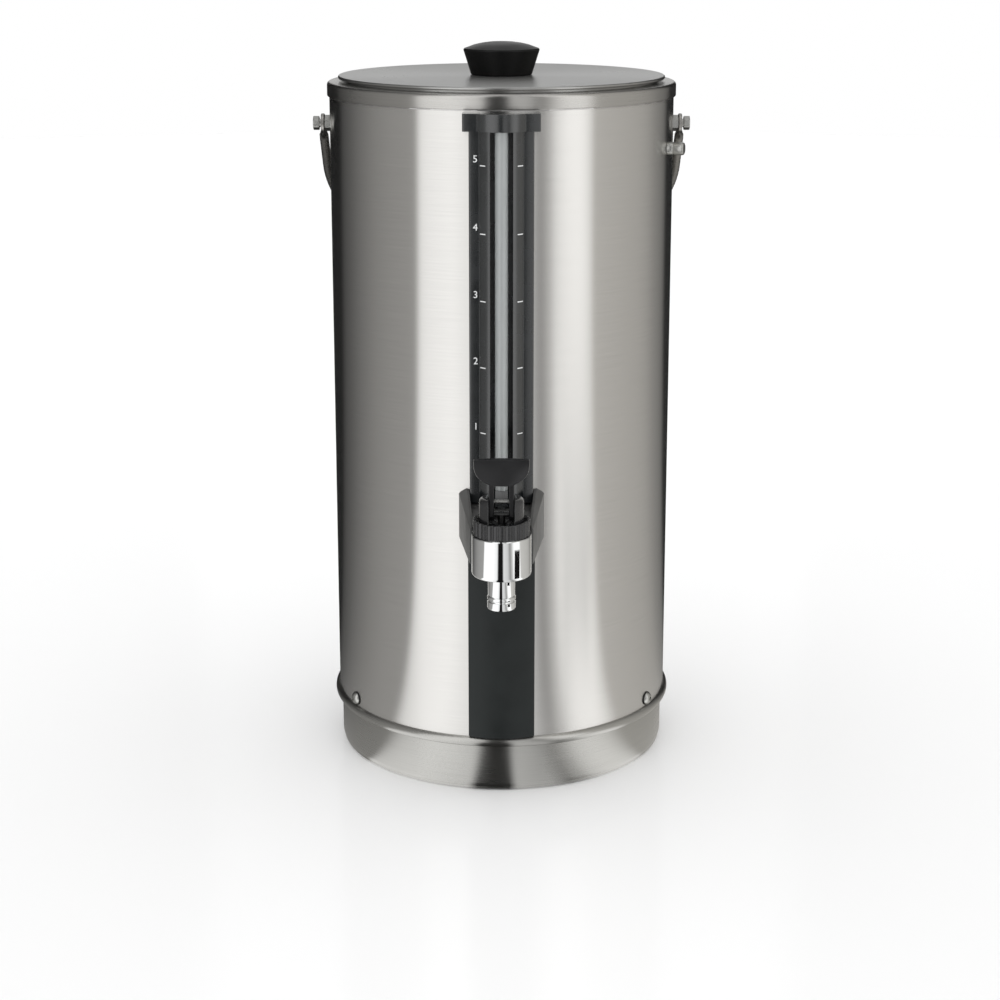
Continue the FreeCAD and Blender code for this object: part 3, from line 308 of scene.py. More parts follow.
def arc(centre, radius, from_deg, to_deg, steps=8):
    points = []
    for i in range(steps + 1):
        x, y = on_circle(radius, math.radians(between(from_deg, to_deg, i / steps)))
        points.append((centre[0] + x, centre[1] + y))
    return points


def to_front(points):
    return [(x, -y) for x, y in points]


def box(low_x, high_x, low_y, high_y):
    return [(low_x, low_y), (high_x, low_y), (high_x, high_y), (low_x, high_y)]


def bridge(bm, rings):
    """Joins each closed ring of points to the next one."""
    for near, far in zip(rings, rings[1:]):
        for k in range(len(near)):
            j = (k + 1) % len(near)
            bm.faces.new([near[k], near[j], far[j], far[k]])


def finish_mesh(name, bm, material, sharp_deg=35.0):
    mesh = bpy.data.meshes.new(name)
    bmesh.ops.recalc_face_normals(bm, faces=bm.faces)
    bm.to_mesh(mesh)
    bm.free()
    obj = bpy.data.objects.new(name, mesh)
    bpy.context.scene.collection.objects.link(obj)
    mesh.materials.append(material)
    for polygon in mesh.polygons:
        polygon.use_smooth = True
    mesh.set_sharp_from_angle(angle=math.radians(sharp_deg))
    return obj


def new_point(bm, x, y, z):
    return bm.verts.new((x * MM, y * MM, z * MM))


def skin(name, rings, material, sharp_deg=35.0):
    """Makes a piece with flat ends from rings of points."""
    bm = bmesh.new()
    rows = [[new_point(bm, *point) for point in ring] for ring in rings]
    bridge(bm, rows)
    bm.faces.new(rows[0][::-1])
    bm.faces.new(rows[-1])
    return finish_mesh(name, bm, material, sharp_deg)


def lathe(name, outline, material, axis=(0.0, 0.0), segments=192, sharp_deg=35.0):
    """Turns a closed outline of (radius, height) about an upright axis."""
    bm = bmesh.new()
    rings = []
    for r, z in outline:
        if r == 0:
            rings.append([new_point(bm, *axis, z)])
            continue
        ring = []
        for i in range(segments):
            x, y = on_circle(r, 2 * math.pi * i / segments)
            ring.append(new_point(bm, axis[0] + x, axis[1] + y, z))
        rings.append(ring)
    for near, far in zip(rings, rings[1:] + rings[:1]):
        if len(near) == 1 and len(far) == 1:
            continue
        for i in range(segments):
            j = (i + 1) % segments
            corners = [near[i % len(near)], near[j % len(near)], far[j % len(far)], far[i % len(far)]]
            bm.faces.new(list(dict.fromkeys(corners)))
    return finish_mesh(name, bm, material, sharp_deg)


def on_plane(plane, a, b, across):
    """A point of an outline's plane, moved along the axis across that plane."""
    if plane == "xy":
        return a, b, across
    if plane == "xz":
        return a, across, b
    return across, a, b


def prism(name, outline, low, high, material, plane="xy", bevel=0.0, steps=3, sharp_deg=35.0):
    """Extrudes an outline along the axis across its plane."""
    bm = bmesh.new()
    bottom = [new_point(bm, *on_plane(plane, a, b, low)) for a, b in outline]
    top = [new_point(bm, *on_plane(plane, a, b, high)) for a, b in outline]
    bm.faces.new(bottom[::-1])
    bm.faces.new(top)
    bridge(bm, [bottom, top])
    obj = finish_mesh(name, bm, material, sharp_deg)
    if bevel:
        round_edges(obj, bevel, steps)
    return obj


def rod(name, points, radius, material, sides=ROD_SIDES):
    """A round rod along points, with flat ends."""
    path = [Vector(p) for p in points]
    rings = []
    side = (path[1] - path[0]).normalized().orthogonal().normalized()
    for i, here in enumerate(path):
        way = (path[min(i + 1, len(path) - 1)] - path[max(i - 1, 0)]).normalized()
        side = (side - way * side.dot(way)).normalized()
        other = way.cross(side)
        ring = []
        for k in range(sides):
            a, b = on_circle(radius, 2 * math.pi * k / sides)
            ring.append(here + side * a + other * b)
        rings.append(ring)
    return skin(name, rings, material)


def round_edges(obj, width, steps=3, angle=40.0):
    modifier = obj.modifiers.new("edges", "BEVEL")
    modifier.width = width * MM
    modifier.segments = steps
    modifier.limit_method = "ANGLE"
    modifier.angle_limit = math.radians(angle)
    modifier.harden_normals = True


def finished_mesh(obj):
    """A new mesh of what an object's modifiers or curves make of it."""
    bpy.context.view_layer.update()
    depsgraph = bpy.context.evaluated_depsgraph_get()
    return bpy.data.meshes.new_from_object(obj.evaluated_get(depsgraph))


def bake(obj):
    mesh = finished_mesh(obj)
    obj.modifiers.clear()
    obj.data = mesh


def carve(obj, tool):
    """Cuts a tool shape out of a piece and removes the tool."""
    modifier = obj.modifiers.new("cut", "BOOLEAN")
    modifier.operation = "DIFFERENCE"
    modifier.solver = "EXACT"
    modifier.object = tool
    bake(obj)
    bpy.data.objects.remove(tool)


def join(name, parts):
    """Makes one piece of several."""
    for part in parts:
        if part.modifiers:
            bake(part)
    bpy.ops.object.select_all(action="DESELECT")
    for part in parts:
        part.select_set(True)
    bpy.context.view_layer.objects.active = parts[0]
    bpy.ops.object.join()
    parts[0].name = name
    return parts[0]


def stand(obj, place, way):
    """Turns a piece made on the upright axis to point along a direction, and puts it in place."""
    turn = Vector((0, 0, 1)).rotation_difference(Vector(way))
    matrix = turn.to_matrix().to_4x4()
    matrix.translation = Vector(place) * MM
    obj.data.transform(matrix)
    return obj


def carried(obj, body, slot, *cad_nodes):
    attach(obj, body)
    if cad_nodes:
        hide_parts(*cad_nodes)
    return obj


# Body

def build_jacket():
    inner_r = BODY_R - 0.8
    outline = [(inner_r, JACKET_LOW), (BODY_R, JACKET_LOW), (BODY_R, JACKET_TOP), (inner_r, JACKET_TOP)]
    jacket = lathe("jacket", outline, STEEL, segments=BODY_SIDES)
    carried(jacket, "body", "jacket_steel", "outer_jacket")


def build_pan():
    """The skirt with its rolled bead, the spigot inside the jacket and the vented bottom."""
    skirt_r, skirt_top, foot_round = 108.3, 29.6, 5.0
    crease = 0.4
    bead_reach, bead_z, bead = 112.7, 33.75, 3.25
    spigot_r, spigot_inner_r, spigot_top = 108.9, 107.4, 52.0
    floor = 1.0
    outline = [(0, 0)] + arc((skirt_r - foot_round, foot_round), foot_round, -90, 0, 10)
    outline += [(skirt_r, skirt_top)]
    outline += arc((skirt_r - crease, skirt_top + 0.5), crease, 0, 60, 2)[1:]
    outline += arc((bead_reach - bead, bead_z), bead, -80, 90, 16)
    outline += [(spigot_r, JACKET_LOW), (spigot_r, spigot_top), (spigot_inner_r, spigot_top)]
    outline += [(spigot_inner_r, floor), (0, floor)]
    pan = lathe("pan", outline, PAN_STEEL, segments=BODY_SIDES)
    vents, vent_ring_r, half_length, half_w = 12, 78.0, 12, 2
    cut_low, cut_high = -1, 2
    for i in range(vents):
        along = outward(360.0 / vents * i)
        across = Vector((-along.y, along.x, 0))
        corners = [along * (vent_ring_r + a) + across * b
                   for a, b in box(-half_length, half_length, -half_w, half_w)]
        carve(pan, prism("slot", [(c.x, c.y) for c in corners], cut_low, cut_high, PAN_STEEL))
    carried(pan, "body", "pan_steel", "base_pan")


def build_collar():
    outer_r = BODY_R + 1.4
    mouth_r = 89.2
    wall = 1.2
    hem, hem_low = 0.5, JACKET_TOP + 0.8
    shoulder = 2.2
    outline = [(outer_r - wall, hem_low)] + arc((outer_r - hem, hem_low + hem), hem, -90, 0, 3)
    outline += arc((outer_r - shoulder, COLLAR_TOP - shoulder), shoulder, 0, 90, 8)
    outline += [(mouth_r + 0.4, COLLAR_TOP), (mouth_r, COLLAR_TOP - 0.3)]
    outline += [(mouth_r, COLLAR_TOP - wall), (outer_r - wall, COLLAR_TOP - wall)]
    collar = lathe("collar", outline, COLLAR_STEEL, segments=BODY_SIDES)
    carried(collar, "body", "collar_steel", "rim_collar")


def build_base_screws():
    """Button heads with a socket, each on a dark washer."""
    screw_z, seat_r = 41.8, BODY_R + 0.75
    shank_r, shank_end, head_r, dome_r = 2.0, -3, 4.0, 3.78
    head_top, socket_r, socket_floor_r, socket_floor = 2.3, 1.25, 1.1, 1.2
    head_outline = [(0, shank_end), (shank_r, shank_end), (shank_r, 0), (head_r, 0)]
    head_outline += arc((0.6, -1.4), dome_r, 22, 78, 8)
    head_outline += [(socket_r, head_top), (socket_floor_r, socket_floor), (0, socket_floor)]
    washer_outline = [(2.1, -0.6), (4.3, -0.6), (4.5, -0.3), (4.4, 0.0), (2.1, 0.0)]
    heads = []
    washers = []
    for azimuth in (60.0, 180.0, 300.0):
        way = outward(azimuth)
        place = way * seat_r + Vector((0, 0, screw_z))
        head = lathe("base_screw_heads", head_outline, SCREW_STEEL, segments=40)
        heads.append(stand(head, place, way))
        washer = lathe("base_washer", washer_outline, DARK_PLATE_AND_SHADE, segments=40)
        washers.append(stand(washer, place, way))
    carried(join("base_screw_heads", heads), "body", "screw_steel", "base_screws")
    carried(join("base_screw_washers", washers), "body", "washer_dark", "base_washers")


def build_lid():
    """A flat disc with a rolled edge that stands clear of the collar, and a skirt under it."""
    roll, sink, sheet = 1.1, 0.15, 0.9
    step_r = LID_R - 5.6
    skirt_r = LID_R - 4.6
    skirt_inner_r = skirt_r - 0.8
    outline = [(0, LID_TOP - sink), (step_r - 0.8, LID_TOP - sink), (step_r, LID_TOP)]
    outline += arc((LID_R - roll, LID_TOP - roll), roll, 90, -60, 10)
    outline += [(LID_R - 1.6, LID_TOP - 2.1), (skirt_r, LID_TOP - 1.9), (skirt_r, LID_LOW)]
    outline += [(skirt_inner_r, LID_LOW), (skirt_inner_r, LID_TOP - sheet), (0, LID_TOP - sheet)]
    lid = lathe("lid_disc", outline, LID_STEEL, segments=BODY_SIDES, sharp_deg=50)
    carried(lid, "lid", "lid_steel", "lid")


def build_knob():
    """A knob that widens upwards to a rounded edge, with a low crown on top."""
    foot_r, top_r = 19.2, 24.25
    edge = 1.2
    side_top = LID_TOP + 16.6
    crown = [(21.0, 0.9), (17.5, 2.2), (13.0, 3.2), (8.0, 3.9), (3.0, 4.2), (1.0, 4.25), (0, 4.28)]
    outline = [(0, LID_TOP), (foot_r, LID_TOP), (foot_r + 0.4, LID_TOP + 0.4), (top_r, side_top - 1.3)]
    outline += arc((23.1, side_top - 1.1), edge, 0, 75, 6)
    outline += [(r, side_top + rise) for r, rise in crown]
    knob = lathe("knob", outline, KNOB_BLACK, segments=128, sharp_deg=60)
    carried(knob, "lid", "black_gloss", "lid_knob")


# Gauge and strips

def strip_back(half_w):
    """The back of a strip, which lies on the jacket."""
    half_turn = math.degrees(math.asin(half_w / STRIP_SEAT_R))
    return arc((0, 0), STRIP_SEAT_R, 90 - half_turn, 90 + half_turn, 16)


def bulge_outline(half_w, face, bulge, channel_half_w=0.0, channel_floor=0.0):
    """Section of a strip with a round bulge, and a channel down its middle if asked, front to -Y."""
    edge = 1.0
    foot = BODY_R - 1.4
    middle = (0, BULGE_MID)
    meet = math.sqrt(bulge ** 2 - (face - BULGE_MID) ** 2)
    side = math.degrees(math.asin(meet / bulge))
    points = [(-half_w, foot), (-half_w, face - edge)]
    points += arc((-half_w + edge, face - edge), edge, 180, 90, 5)
    if channel_half_w:
        mouth = math.degrees(math.asin(channel_half_w / bulge))
        points += arc(middle, bulge, 90 + side, 90 + mouth, 10)
        points += [(-channel_half_w, channel_floor), (channel_half_w, channel_floor)]
        points += arc(middle, bulge, 90 - mouth, 90 - side, 10)
    else:
        points += arc(middle, bulge, 90 + side, 90 - side, 24)
    points += arc((half_w - edge, face - edge), edge, 90, 0, 5)
    points += [(half_w, foot)] + strip_back(half_w)
    return to_front(points)


def build_gauge():
    strip_low, cap_low, cap_high = 192.0, 419.5, 430.0
    strip_half_w, cap_half_w = 19.5, 23.25
    channel_half_w, channel_floor = 6.85, BODY_R + 0.8
    section = bulge_outline(strip_half_w, STRIP_FACE, BULGE_R, channel_half_w, channel_floor)
    strip = prism("gauge_housing", section, strip_low, cap_low, STRIP_BLACK, bevel=0.35, steps=2)
    carried(strip, "body", "strip_black", "gauge_strip")

    cap_rise = 2.4
    section = bulge_outline(cap_half_w, STRIP_FACE + cap_rise, BULGE_R + cap_rise)
    cap = prism("gauge_cap", section, cap_low, cap_high, STRIP_BLACK, bevel=0.9, steps=4)
    carried(cap, "body", "black_gloss", "gauge_top_cap")

    tube_at = (0, -(BODY_R + 5.6))
    tube_inner_r, tube_r, tube_low, tube_high = 2.8, 4.0, 194.0, 425.0
    tube = lathe("gauge_tube", box(tube_inner_r, tube_r, tube_low, tube_high), GLASS, tube_at, 48)
    carried(tube, "body", "gauge_clear", "gauge_glass")


def gauge_line(x0, x1, middle_z):
    """A printed line that follows the bulge's face and stands just proud of it."""
    half_h, proud, depth = 0.3, 0.06, 0.25
    steps = 4
    rings = []
    for i in range(steps + 1):
        x = between(x0, x1, i / steps)
        front = -(BULGE_MID + math.sqrt((BULGE_R + proud) ** 2 - x ** 2))
        back = front + depth
        low, high = middle_z - half_h, middle_z + half_h
        rings.append([(x, front, low), (x, front, high), (x, back, high), (x, back, low)])
    return skin("gauge_line", rings, WHITE_PRINT)


def gauge_digit(number, x, z):
    """A plain printed number on the strip's flat face."""
    curve = bpy.data.curves.new("digit", "FONT")
    curve.body = str(number)
    curve.size = 6.0 * MM
    curve.extrude = 0.12 * MM
    curve.align_x = "CENTER"
    curve.align_y = "CENTER"
    text = bpy.data.objects.new("digit", curve)
    bpy.context.scene.collection.objects.link(text)
    text.location = (x * MM, -(STRIP_FACE + 0.02) * MM, z * MM)
    text.rotation_euler = (math.radians(90), 0, 0)
    mesh = finished_mesh(text)
    mesh.transform(text.matrix_world)
    bpy.data.objects.remove(text)
    digit = bpy.data.objects.new("digit", mesh)
    bpy.context.scene.collection.objects.link(digit)
    mesh.materials.clear()
    mesh.materials.append(WHITE_PRINT)
    return digit


def build_marks():
    """A line on each side of the channel at every litre, with its number above the left one."""
    litres, step, top = 5, 40.7, 399.4
    line_near, line_far = 9.6, 12.8
    digit_x, digit_rise = -15.6, 3.7
    lines = []
    digits = []
    for i in range(litres):
        z = top - step * i
        lines.append(gauge_line(-line_far, -line_near, z))
        lines.append(gauge_line(line_near, line_far, z))
        digits.append(gauge_digit(litres - i, digit_x, z + digit_rise))
    carried(join("gauge_lines", lines), "body", "terminal_white")
    carried(join("gauge_digits", digits), "body", "terminal_white")


def build_lower_strip():
    """A cover with a gently rounded face."""
    half_w, face = 20.75, BODY_R + 4.5
    low, high = 37.3, 167.7
    edge = math.sqrt(BODY_R ** 2 - half_w ** 2) + 2.0
    rise = face - edge
    radius = (half_w ** 2 + rise ** 2) / (2 * rise)
    side = math.degrees(math.asin(half_w / radius))
    points = arc((0, face - radius), radius, 90 + side, 90 - side, 24) + strip_back(half_w)
    strip = prism("lower_cover", to_front(points), low, high, LOWER_BLACK, bevel=0.8, steps=3)
    carried(strip, "body", "strip_black", "lower_strip")


# Tap

def build_barrel():
    """The tap's round body, with the neck that joins it to the shank."""
    edge, rim, step_top = 2.5, 183.4, 183.0
    way_r, way_low = 12.2, 166.0
    outline = [(BORE_R, BARREL_LOW)] + arc((BARREL_R - edge, BARREL_LOW + edge), edge, -90, 0, 8)
    outline += [(BARREL_R, step_top), (BARREL_R - 0.4, rim), (NECK_R, rim), (NECK_R, BONNET_LOW)]
    outline += [(way_r, BONNET_LOW), (way_r, way_low), (BORE_R, way_low)]
    barrel = lathe("tap_barrel", outline, CHROME, TAP_AT, 128)
    neck_back, neck_front, neck_low, half_w = -112.0, -136.5, 163.5, 7.5
    section = [(neck_back, 189.5), (-131.8, 185.2), (-131.8, step_top), (neck_front, step_top)]
    section += [(neck_front, neck_low), (-118.0, neck_low), (neck_back, 172.0)]
    neck = prism("tap_neck", section, -half_w, half_w, CHROME, "yz", 0.8)
    carried(join("tap_barrel", [barrel, neck]), "body", "tap_chrome", "tap_body")


def build_nozzle():
    """The outlet pipe, with a groove above its rounded foot."""
    foot, mouth_r, wide_r, pipe_r = 137.2, 8.05, 8.65, 8.3
    edge, groove = 0.6, 0.75
    outline = [(BORE_R, foot), (8.2, foot)] + arc((mouth_r, foot + 0.8), edge, -90, 0, 4)[1:]
    outline += [(wide_r, foot + 4.4)] + arc((8.75, foot + 5.2), groove, 250, 110, 6)
    outline += [(wide_r, foot + 6.0)] + arc((mouth_r, foot + 7.3), edge, 0, 60, 3)
    outline += [(8.0, foot + 8.2), (pipe_r, foot + 9.0), (pipe_r, BARREL_LOW), (BORE_R, BARREL_LOW)]
    nozzle = lathe("tap_outlet", outline, CHROME, TAP_AT, TAP_SIDES)
    carried(nozzle, "body", "tap_chrome", "tap_nozzle")


def build_ring_nut():
    nut_r, low, high = 17.2, 183.6, 193.0
    flutes, steps, depth = 26, 12, 0.7
    flute_from, flute_to = 0.35, 0.9
    around = []
    for i in range(flutes * steps):
        share = i % steps / steps
        dip = 0.0
        if flute_from < share < flute_to:
            dip = depth * math.sin(math.pi * (share - flute_from) / (flute_to - flute_from))
        spot = outward(360.0 * i / (flutes * steps)) * (nut_r - dip)
        around.append((spot.x, TAP_Y + spot.y))
    nut = prism("ring_nut", around, low, high, NUT_BLACK, bevel=0.5, steps=2, sharp_deg=50)
    bake(nut)
    thread_r, lip_r, mouth_r = 15.2, 13.8, 15.7
    lip_low, lip_high = 188.55, 190.05
    bore_outline = [(0, 183.0), (thread_r, 183.0), (thread_r, lip_low), (lip_r, lip_low), (lip_r, lip_high)]
    bore_outline += [(mouth_r, lip_high), (mouth_r, 194.0), (0, 194.0)]
    carve(nut, lathe("bore", bore_outline, NUT_BLACK, TAP_AT, TAP_SIDES))
    carried(nut, "body", "nut_black", "tap_ring_nut")


def build_bonnet():
    """A domed bonnet with a slot across it for the lever and a way for the stem."""
    dome_r, side_r, flange_top = 3.2, 13.5, 188.5
    dome_low, top = 203.3, 206.5
    outline = [(0, BONNET_LOW), (NECK_R, BONNET_LOW), (NECK_R, flange_top), (side_r, flange_top)]
    outline += [(side_r, dome_low - 0.1)] + arc((side_r - dome_r, dome_low), dome_r, 0, 88, 8) + [(0, top)]
    bonnet = lathe("tap_bonnet_shell", outline, NUT_BLACK, TAP_AT, TAP_SIDES)
    slot_half_w, slot_low, slot_high, slot_reach = 7.85, 190.4, 208, 20
    slot = box(-slot_half_w, slot_half_w, slot_low, slot_high)
    carve(bonnet, prism("slot", slot, TAP_Y - slot_reach, TAP_Y + slot_reach, NUT_BLACK, "xz"))
    stem_way_r = 2.35
    carve(bonnet, lathe("stem_way", box(0, stem_way_r, 186, 191), NUT_BLACK, TAP_AT, 32))
    carried(bonnet, "body", "nut_black", "tap_bonnet")


def build_lever_pin():
    half_length, radius = 12.4, 1.35
    ends = [(-half_length, TAP_Y, PIN_Z), (half_length, TAP_Y, PIN_Z)]
    carried(rod("lever_pivot_pin", ends, radius, SCREW_STEEL), "body", "screw_steel", "lever_pin")


SHROUD_BACK_Y = -105.0
SHROUD_FRONT_Y = TAP_Y + 3.5
CHEEK_AT_BACK = [(26.6, 169.0), (26.6, 197.0), (25.6, 198.4), (22.0, 201.0),
                 (20.3, 200.8), (21.5, 199.0), (24.4, 196.0), (24.4, 169.0)]
CHEEK_AT_TAP = [(18.4, 163.0), (18.4, 184.0), (18.2, 184.6), (17.6, 185.0),
                (16.4, 184.9), (16.5, 184.0), (16.6, 183.0), (16.6, 163.0)]


def fit_shroud_piece(obj):
    """Cuts a shroud piece back from the barrel and from the jacket."""
    low, high = 150, 210
    barrel = box(0, BARREL_R + 0.3, low, high)
    jacket = box(0, BODY_R + 0.1, low, high)
    carve(obj, lathe("round", barrel, SHROUD_BLACK, TAP_AT, TAP_SIDES))
    carve(obj, lathe("body_round", jacket, SHROUD_BLACK, segments=BODY_SIDES))


def shroud_cheek(side):
    """A cheek that leans in and falls towards the barrel."""
    steps = 10
    rings = []
    for i in range(steps + 1):
        y = between(SHROUD_BACK_Y, SHROUD_FRONT_Y, i / steps)
        share = (y - SHROUD_BACK_Y) / (TAP_Y - SHROUD_BACK_Y)
        rings.append([(side * between(x_back, x_tap, share), y, between(z_back, z_tap, share))
                      for (x_back, z_back), (x_tap, z_tap) in zip(CHEEK_AT_BACK, CHEEK_AT_TAP)])
    cheek = skin("cheek", rings, SHROUD_BLACK, 30)
    fit_shroud_piece(cheek)
    round_edges(cheek, 0.35, 2, 30)
    return cheek


def shroud_deck():
    """The sloping sheet between the cheeks, trimmed to their lean."""
    sheet, half_w = 1.2, 24.0
    back_top, front_top, front_y = 192.3, 183.7, -149.0
    section = [(SHROUD_BACK_Y, back_top), (front_y, front_top)]
    section += [(front_y, front_top - sheet), (SHROUD_BACK_Y, back_top - sheet)]
    deck = prism("deck", section, -half_w, half_w, SHROUD_BLACK, "yz")
    back_half_w, front_half_w, past = 25.2, 17.2, 60.0
    for side in (-1, 1):
        trim = [(side * back_half_w, SHROUD_BACK_Y + 1), (side * front_half_w, TAP_Y)]
        trim += [(side * past, TAP_Y), (side * past, SHROUD_BACK_Y + 1)]
        carve(deck, prism("side", trim, 170, 210, SHROUD_BLACK))
    fit_shroud_piece(deck)
    return deck


def build_shroud():
    pieces = [shroud_cheek(-1), shroud_cheek(1), shroud_deck()]
    carried(join("shroud", pieces), "body", "shroud_black", "tap_shroud")


def lever_paddle():
    """A shield-shaped paddle with a scooped face."""
    low, high, thickness = 214.0, 230.0, 3.0
    foot_half_w, top_half_w, scoop, face_y = 5.0, 16.5, 1.5, TAP_Y - 4.4
    up_steps, across_steps = 14, 16
    bm = bmesh.new()
    rows = []
    for i in range(up_steps + 1):
        share = i / up_steps
        half_w = max(foot_half_w, top_half_w * math.sqrt(1 - (1 - share) ** 3))
        fade = math.sin(math.pi * min(share * 0.9 + 0.05, 1.0))
        row = []
        for k in range(across_steps + 1):
            across = -1 + 2 * k / across_steps
            hollow = scoop * (1 - across ** 2) * fade
            row.append(new_point(bm, across * half_w, face_y + hollow, between(low, high, share)))
        rows.append(row)
    for near, far in zip(rows, rows[1:]):
        for k in range(across_steps):
            bm.faces.new([near[k], near[k + 1], far[k + 1], far[k]])
    paddle = finish_mesh("paddle", bm, LEVER_BLACK, 60)
    thick = paddle.modifiers.new("thickness", "SOLIDIFY")
    thick.thickness = thickness * MM
    thick.offset = -1.0
    bake(paddle)
    round_edges(paddle, 0.7, 3, 50)
    return paddle


def build_lever():
    """Two arms on the pin that carry the paddle."""
    side_view = [(-6.1, -7.7), (-3.7, -10.7), (1.1, -10.7), (3.1, -8.8),
                 (3.1, 4.0), (0.4, 11.6), (-4.3, 11.6), (-6.1, 2.0)]
    arm_outline = [(TAP_Y + y, PIN_Z + z) for y, z in side_view]
    arm_near, arm_far = 4.45, 7.6
    parts = [lever_paddle()]
    for x0, x1 in ((-arm_far, -arm_near), (arm_near, arm_far)):
        parts.append(prism("arm", arm_outline, x0, x1, LEVER_BLACK, "yz", 0.6, 3))
    carried(join("lever", parts), "lever", "black_gloss", "tap_lever")


# Bail

BAIL_HALF_W = 115.0
BAIL_ROD_R = 2.95
EYE_X = 114.7
EYE_HALF_T = 1.1


def bail_eye(side):
    """The flat eye round the pivot bolt."""
    hole_r, eye_r, edge = 2.6, 6.15, 0.4
    outline = [(hole_r, -EYE_HALF_T), (5.7, -EYE_HALF_T), (eye_r, edge - EYE_HALF_T)]
    outline += [(eye_r, EYE_HALF_T - edge), (5.7, EYE_HALF_T), (hole_r, EYE_HALF_T)]
    eye = lathe("eye", outline, ROD_STEEL, segments=64)
    return stand(eye, (side * EYE_X, 0, 0), (1, 0, 0))


def bail_flat(side):
    """The stretch where the round rod is pressed flat towards the eye."""
    low, high, steps = 3.6, 14.2, 8
    flat_half_w, end_r = 4.9, 2.9
    rings = []
    for i in range(steps + 1):
        share = i / steps
        ease = share * share * (3 - 2 * share)
        wide = between(flat_half_w, end_r, ease)
        deep = between(EYE_HALF_T, end_r, ease)
        mid = side * between(EYE_X, BAIL_HALF_W, ease)
        turns = [2 * math.pi * k / ROD_SIDES for k in range(ROD_SIDES)]
        rings.append([(mid + deep * math.cos(turn), wide * math.sin(turn), between(low, high, share))
                      for turn in turns])
    return skin("flat", rings, ROD_STEEL, 60)


def build_bail():
    """Drawn upright about its pivots, then turned to where it hangs at the rear."""
    hang = math.radians(45.8 - 180)
    leg_low, leg_high, bow_z = 12.0, 26.0, 43.0
    path = [(BAIL_HALF_W, leg_low), (BAIL_HALF_W, leg_high)]
    path += arc((0, bow_z), BAIL_HALF_W, 0, 180, 72)
    path += [(-BAIL_HALF_W, leg_high), (-BAIL_HALF_W, leg_low)]
    pieces = [rod("bail_rod", [(x, 0, z) for x, z in path], BAIL_ROD_R, ROD_STEEL)]
    for side in (-1, 1):
        pieces += [bail_eye(side), bail_flat(side)]
    bail = join("bail", pieces)
    cos_hang, sin_hang = math.cos(hang), math.sin(hang)
    for vertex in bail.data.vertices:
        x, y, z = vertex.co
        vertex.co = (x, y * cos_hang - z * sin_hang, y * sin_hang + z * cos_hang + PIVOT_Z * MM)
    carried(bail, "bail", "rod_steel", "bail_handle")


def build_bail_bolts():
    corner_r, head_h, head_x = 4.6, 4.0, 116.9
    shank_r, shank_from, shank_to = 2.48, 103.0, 117.0
    hexagon = [on_circle(corner_r, math.radians(a)) for a in range(0, 360, 60)]
    bolts = []
    for side in (-1, 1):
        ends = [(side * shank_from, 0, PIVOT_Z), (side * shank_to, 0, PIVOT_Z)]
        shank = rod("shank", ends, shank_r, SCREW_STEEL, 32)
        head = prism("head", hexagon, 0, head_h, SCREW_STEEL, bevel=0.5, steps=3)
        bake(head)
        bolts += [stand(head, (side * head_x, 0, PIVOT_Z), (side, 0, 0)), shank]
    carried(join("bail_bolts", bolts), "body", "screw_steel", "bail_pivot_bolts")


def build_bail_stop():
    """The grooved stop stud on the right side."""
    azimuth, stud_z = 71.5, 401.0
    shank_r, stud_r, length, edge = 2.5, 4.0, 10.55, 1.0
    groove_low, groove_high, groove = 3.4, 4.4, 0.45
    outline = [(0, -6), (shank_r, -6), (shank_r, 0), (stud_r, 0), (stud_r, groove_low)]
    outline += arc((4.1, 3.9), groove, 250, 110, 5) + [(stud_r, groove_high)]
    outline += arc((stud_r - edge, length - edge), edge, 0, 90, 6) + [(0, length)]
    stop = lathe("stop_stud", outline, SCREW_STEEL, segments=64)
    way = outward(azimuth)
    stand(stop, way * (BODY_R + 0.15) + Vector((0, 0, stud_z)), way)
    carried(stop, "body", "screw_steel", "bail_stop")


# Studio

# What polished and brushed faces see round the object: (azimuth in degrees from the front, level, warmth)
REAR_LEFT = [(-180, 0.01, 0), (-136, 0.01, 0)]
LEFT_CARD = [(-129, 0.08, 0.2), (-118, 0.13, 0.3), (-107, 0.20, 0.3), (-91, 0.29, 0.4), (-76, 0.35, 0.4),
             (-57, 0.39, 0.4)]
LEFT_LIGHT = [(-54.5, 1.22, 0), (-32, 1.34, 0), (-22, 1.20, 0), (-12, 1.00, 0)]
MIDDLE_DARK = [(-9, 0.01, 0), (3, 0.01, 0)]
MIDDLE_CARD = [(6, 0.85, 0), (18, 0.70, 0), (25, 0.32, 0.3), (31, 0.62, 0.2)]
RIGHT_LIGHT = [(36, 1.08, 0.1), (42, 1.32, 0.1), (48, 1.38, 0.1), (54, 1.34, 0.1), (59, 1.10, 0.2)]
RIGHT_CARD = [(63, 0.63, 0.7), (86, 0.56, 0.8), (102, 0.51, 0.8), (111, 0.45, 0.8), (122, 0.32, 0.7),
              (136, 0.20, 0.6)]
REAR_RIGHT = [(143, 0.01, 0), (180, 0.01, 0)]
BANDS = REAR_LEFT + LEFT_CARD + LEFT_LIGHT + MIDDLE_DARK + MIDDLE_CARD + RIGHT_LIGHT + RIGHT_CARD + REAR_RIGHT

# Levels of light: what the camera sees as white, and what lights everything that isn't glossy
CAMERA_WHITE = 1.0
SOFT_LEVEL = 1.15

# The card that the lid mirrors, with its sizes in metres
LID_CARD_LEVEL = 0.62
LID_CARD_LOW = 0.5
LID_CARD_HALF_W = 0.8

# The dark patch of floor that the tap mirrors: its turn round the tap, and its distance from it in metres
TAP_CARD_LEVEL = 0.01
TAP_CARD_MIDDLE_DEG = 62.0
TAP_CARD_HALF_DEG = 11.0
TAP_CARD_AWAY = 0.44
TAP_CARD_REACH = 0.11

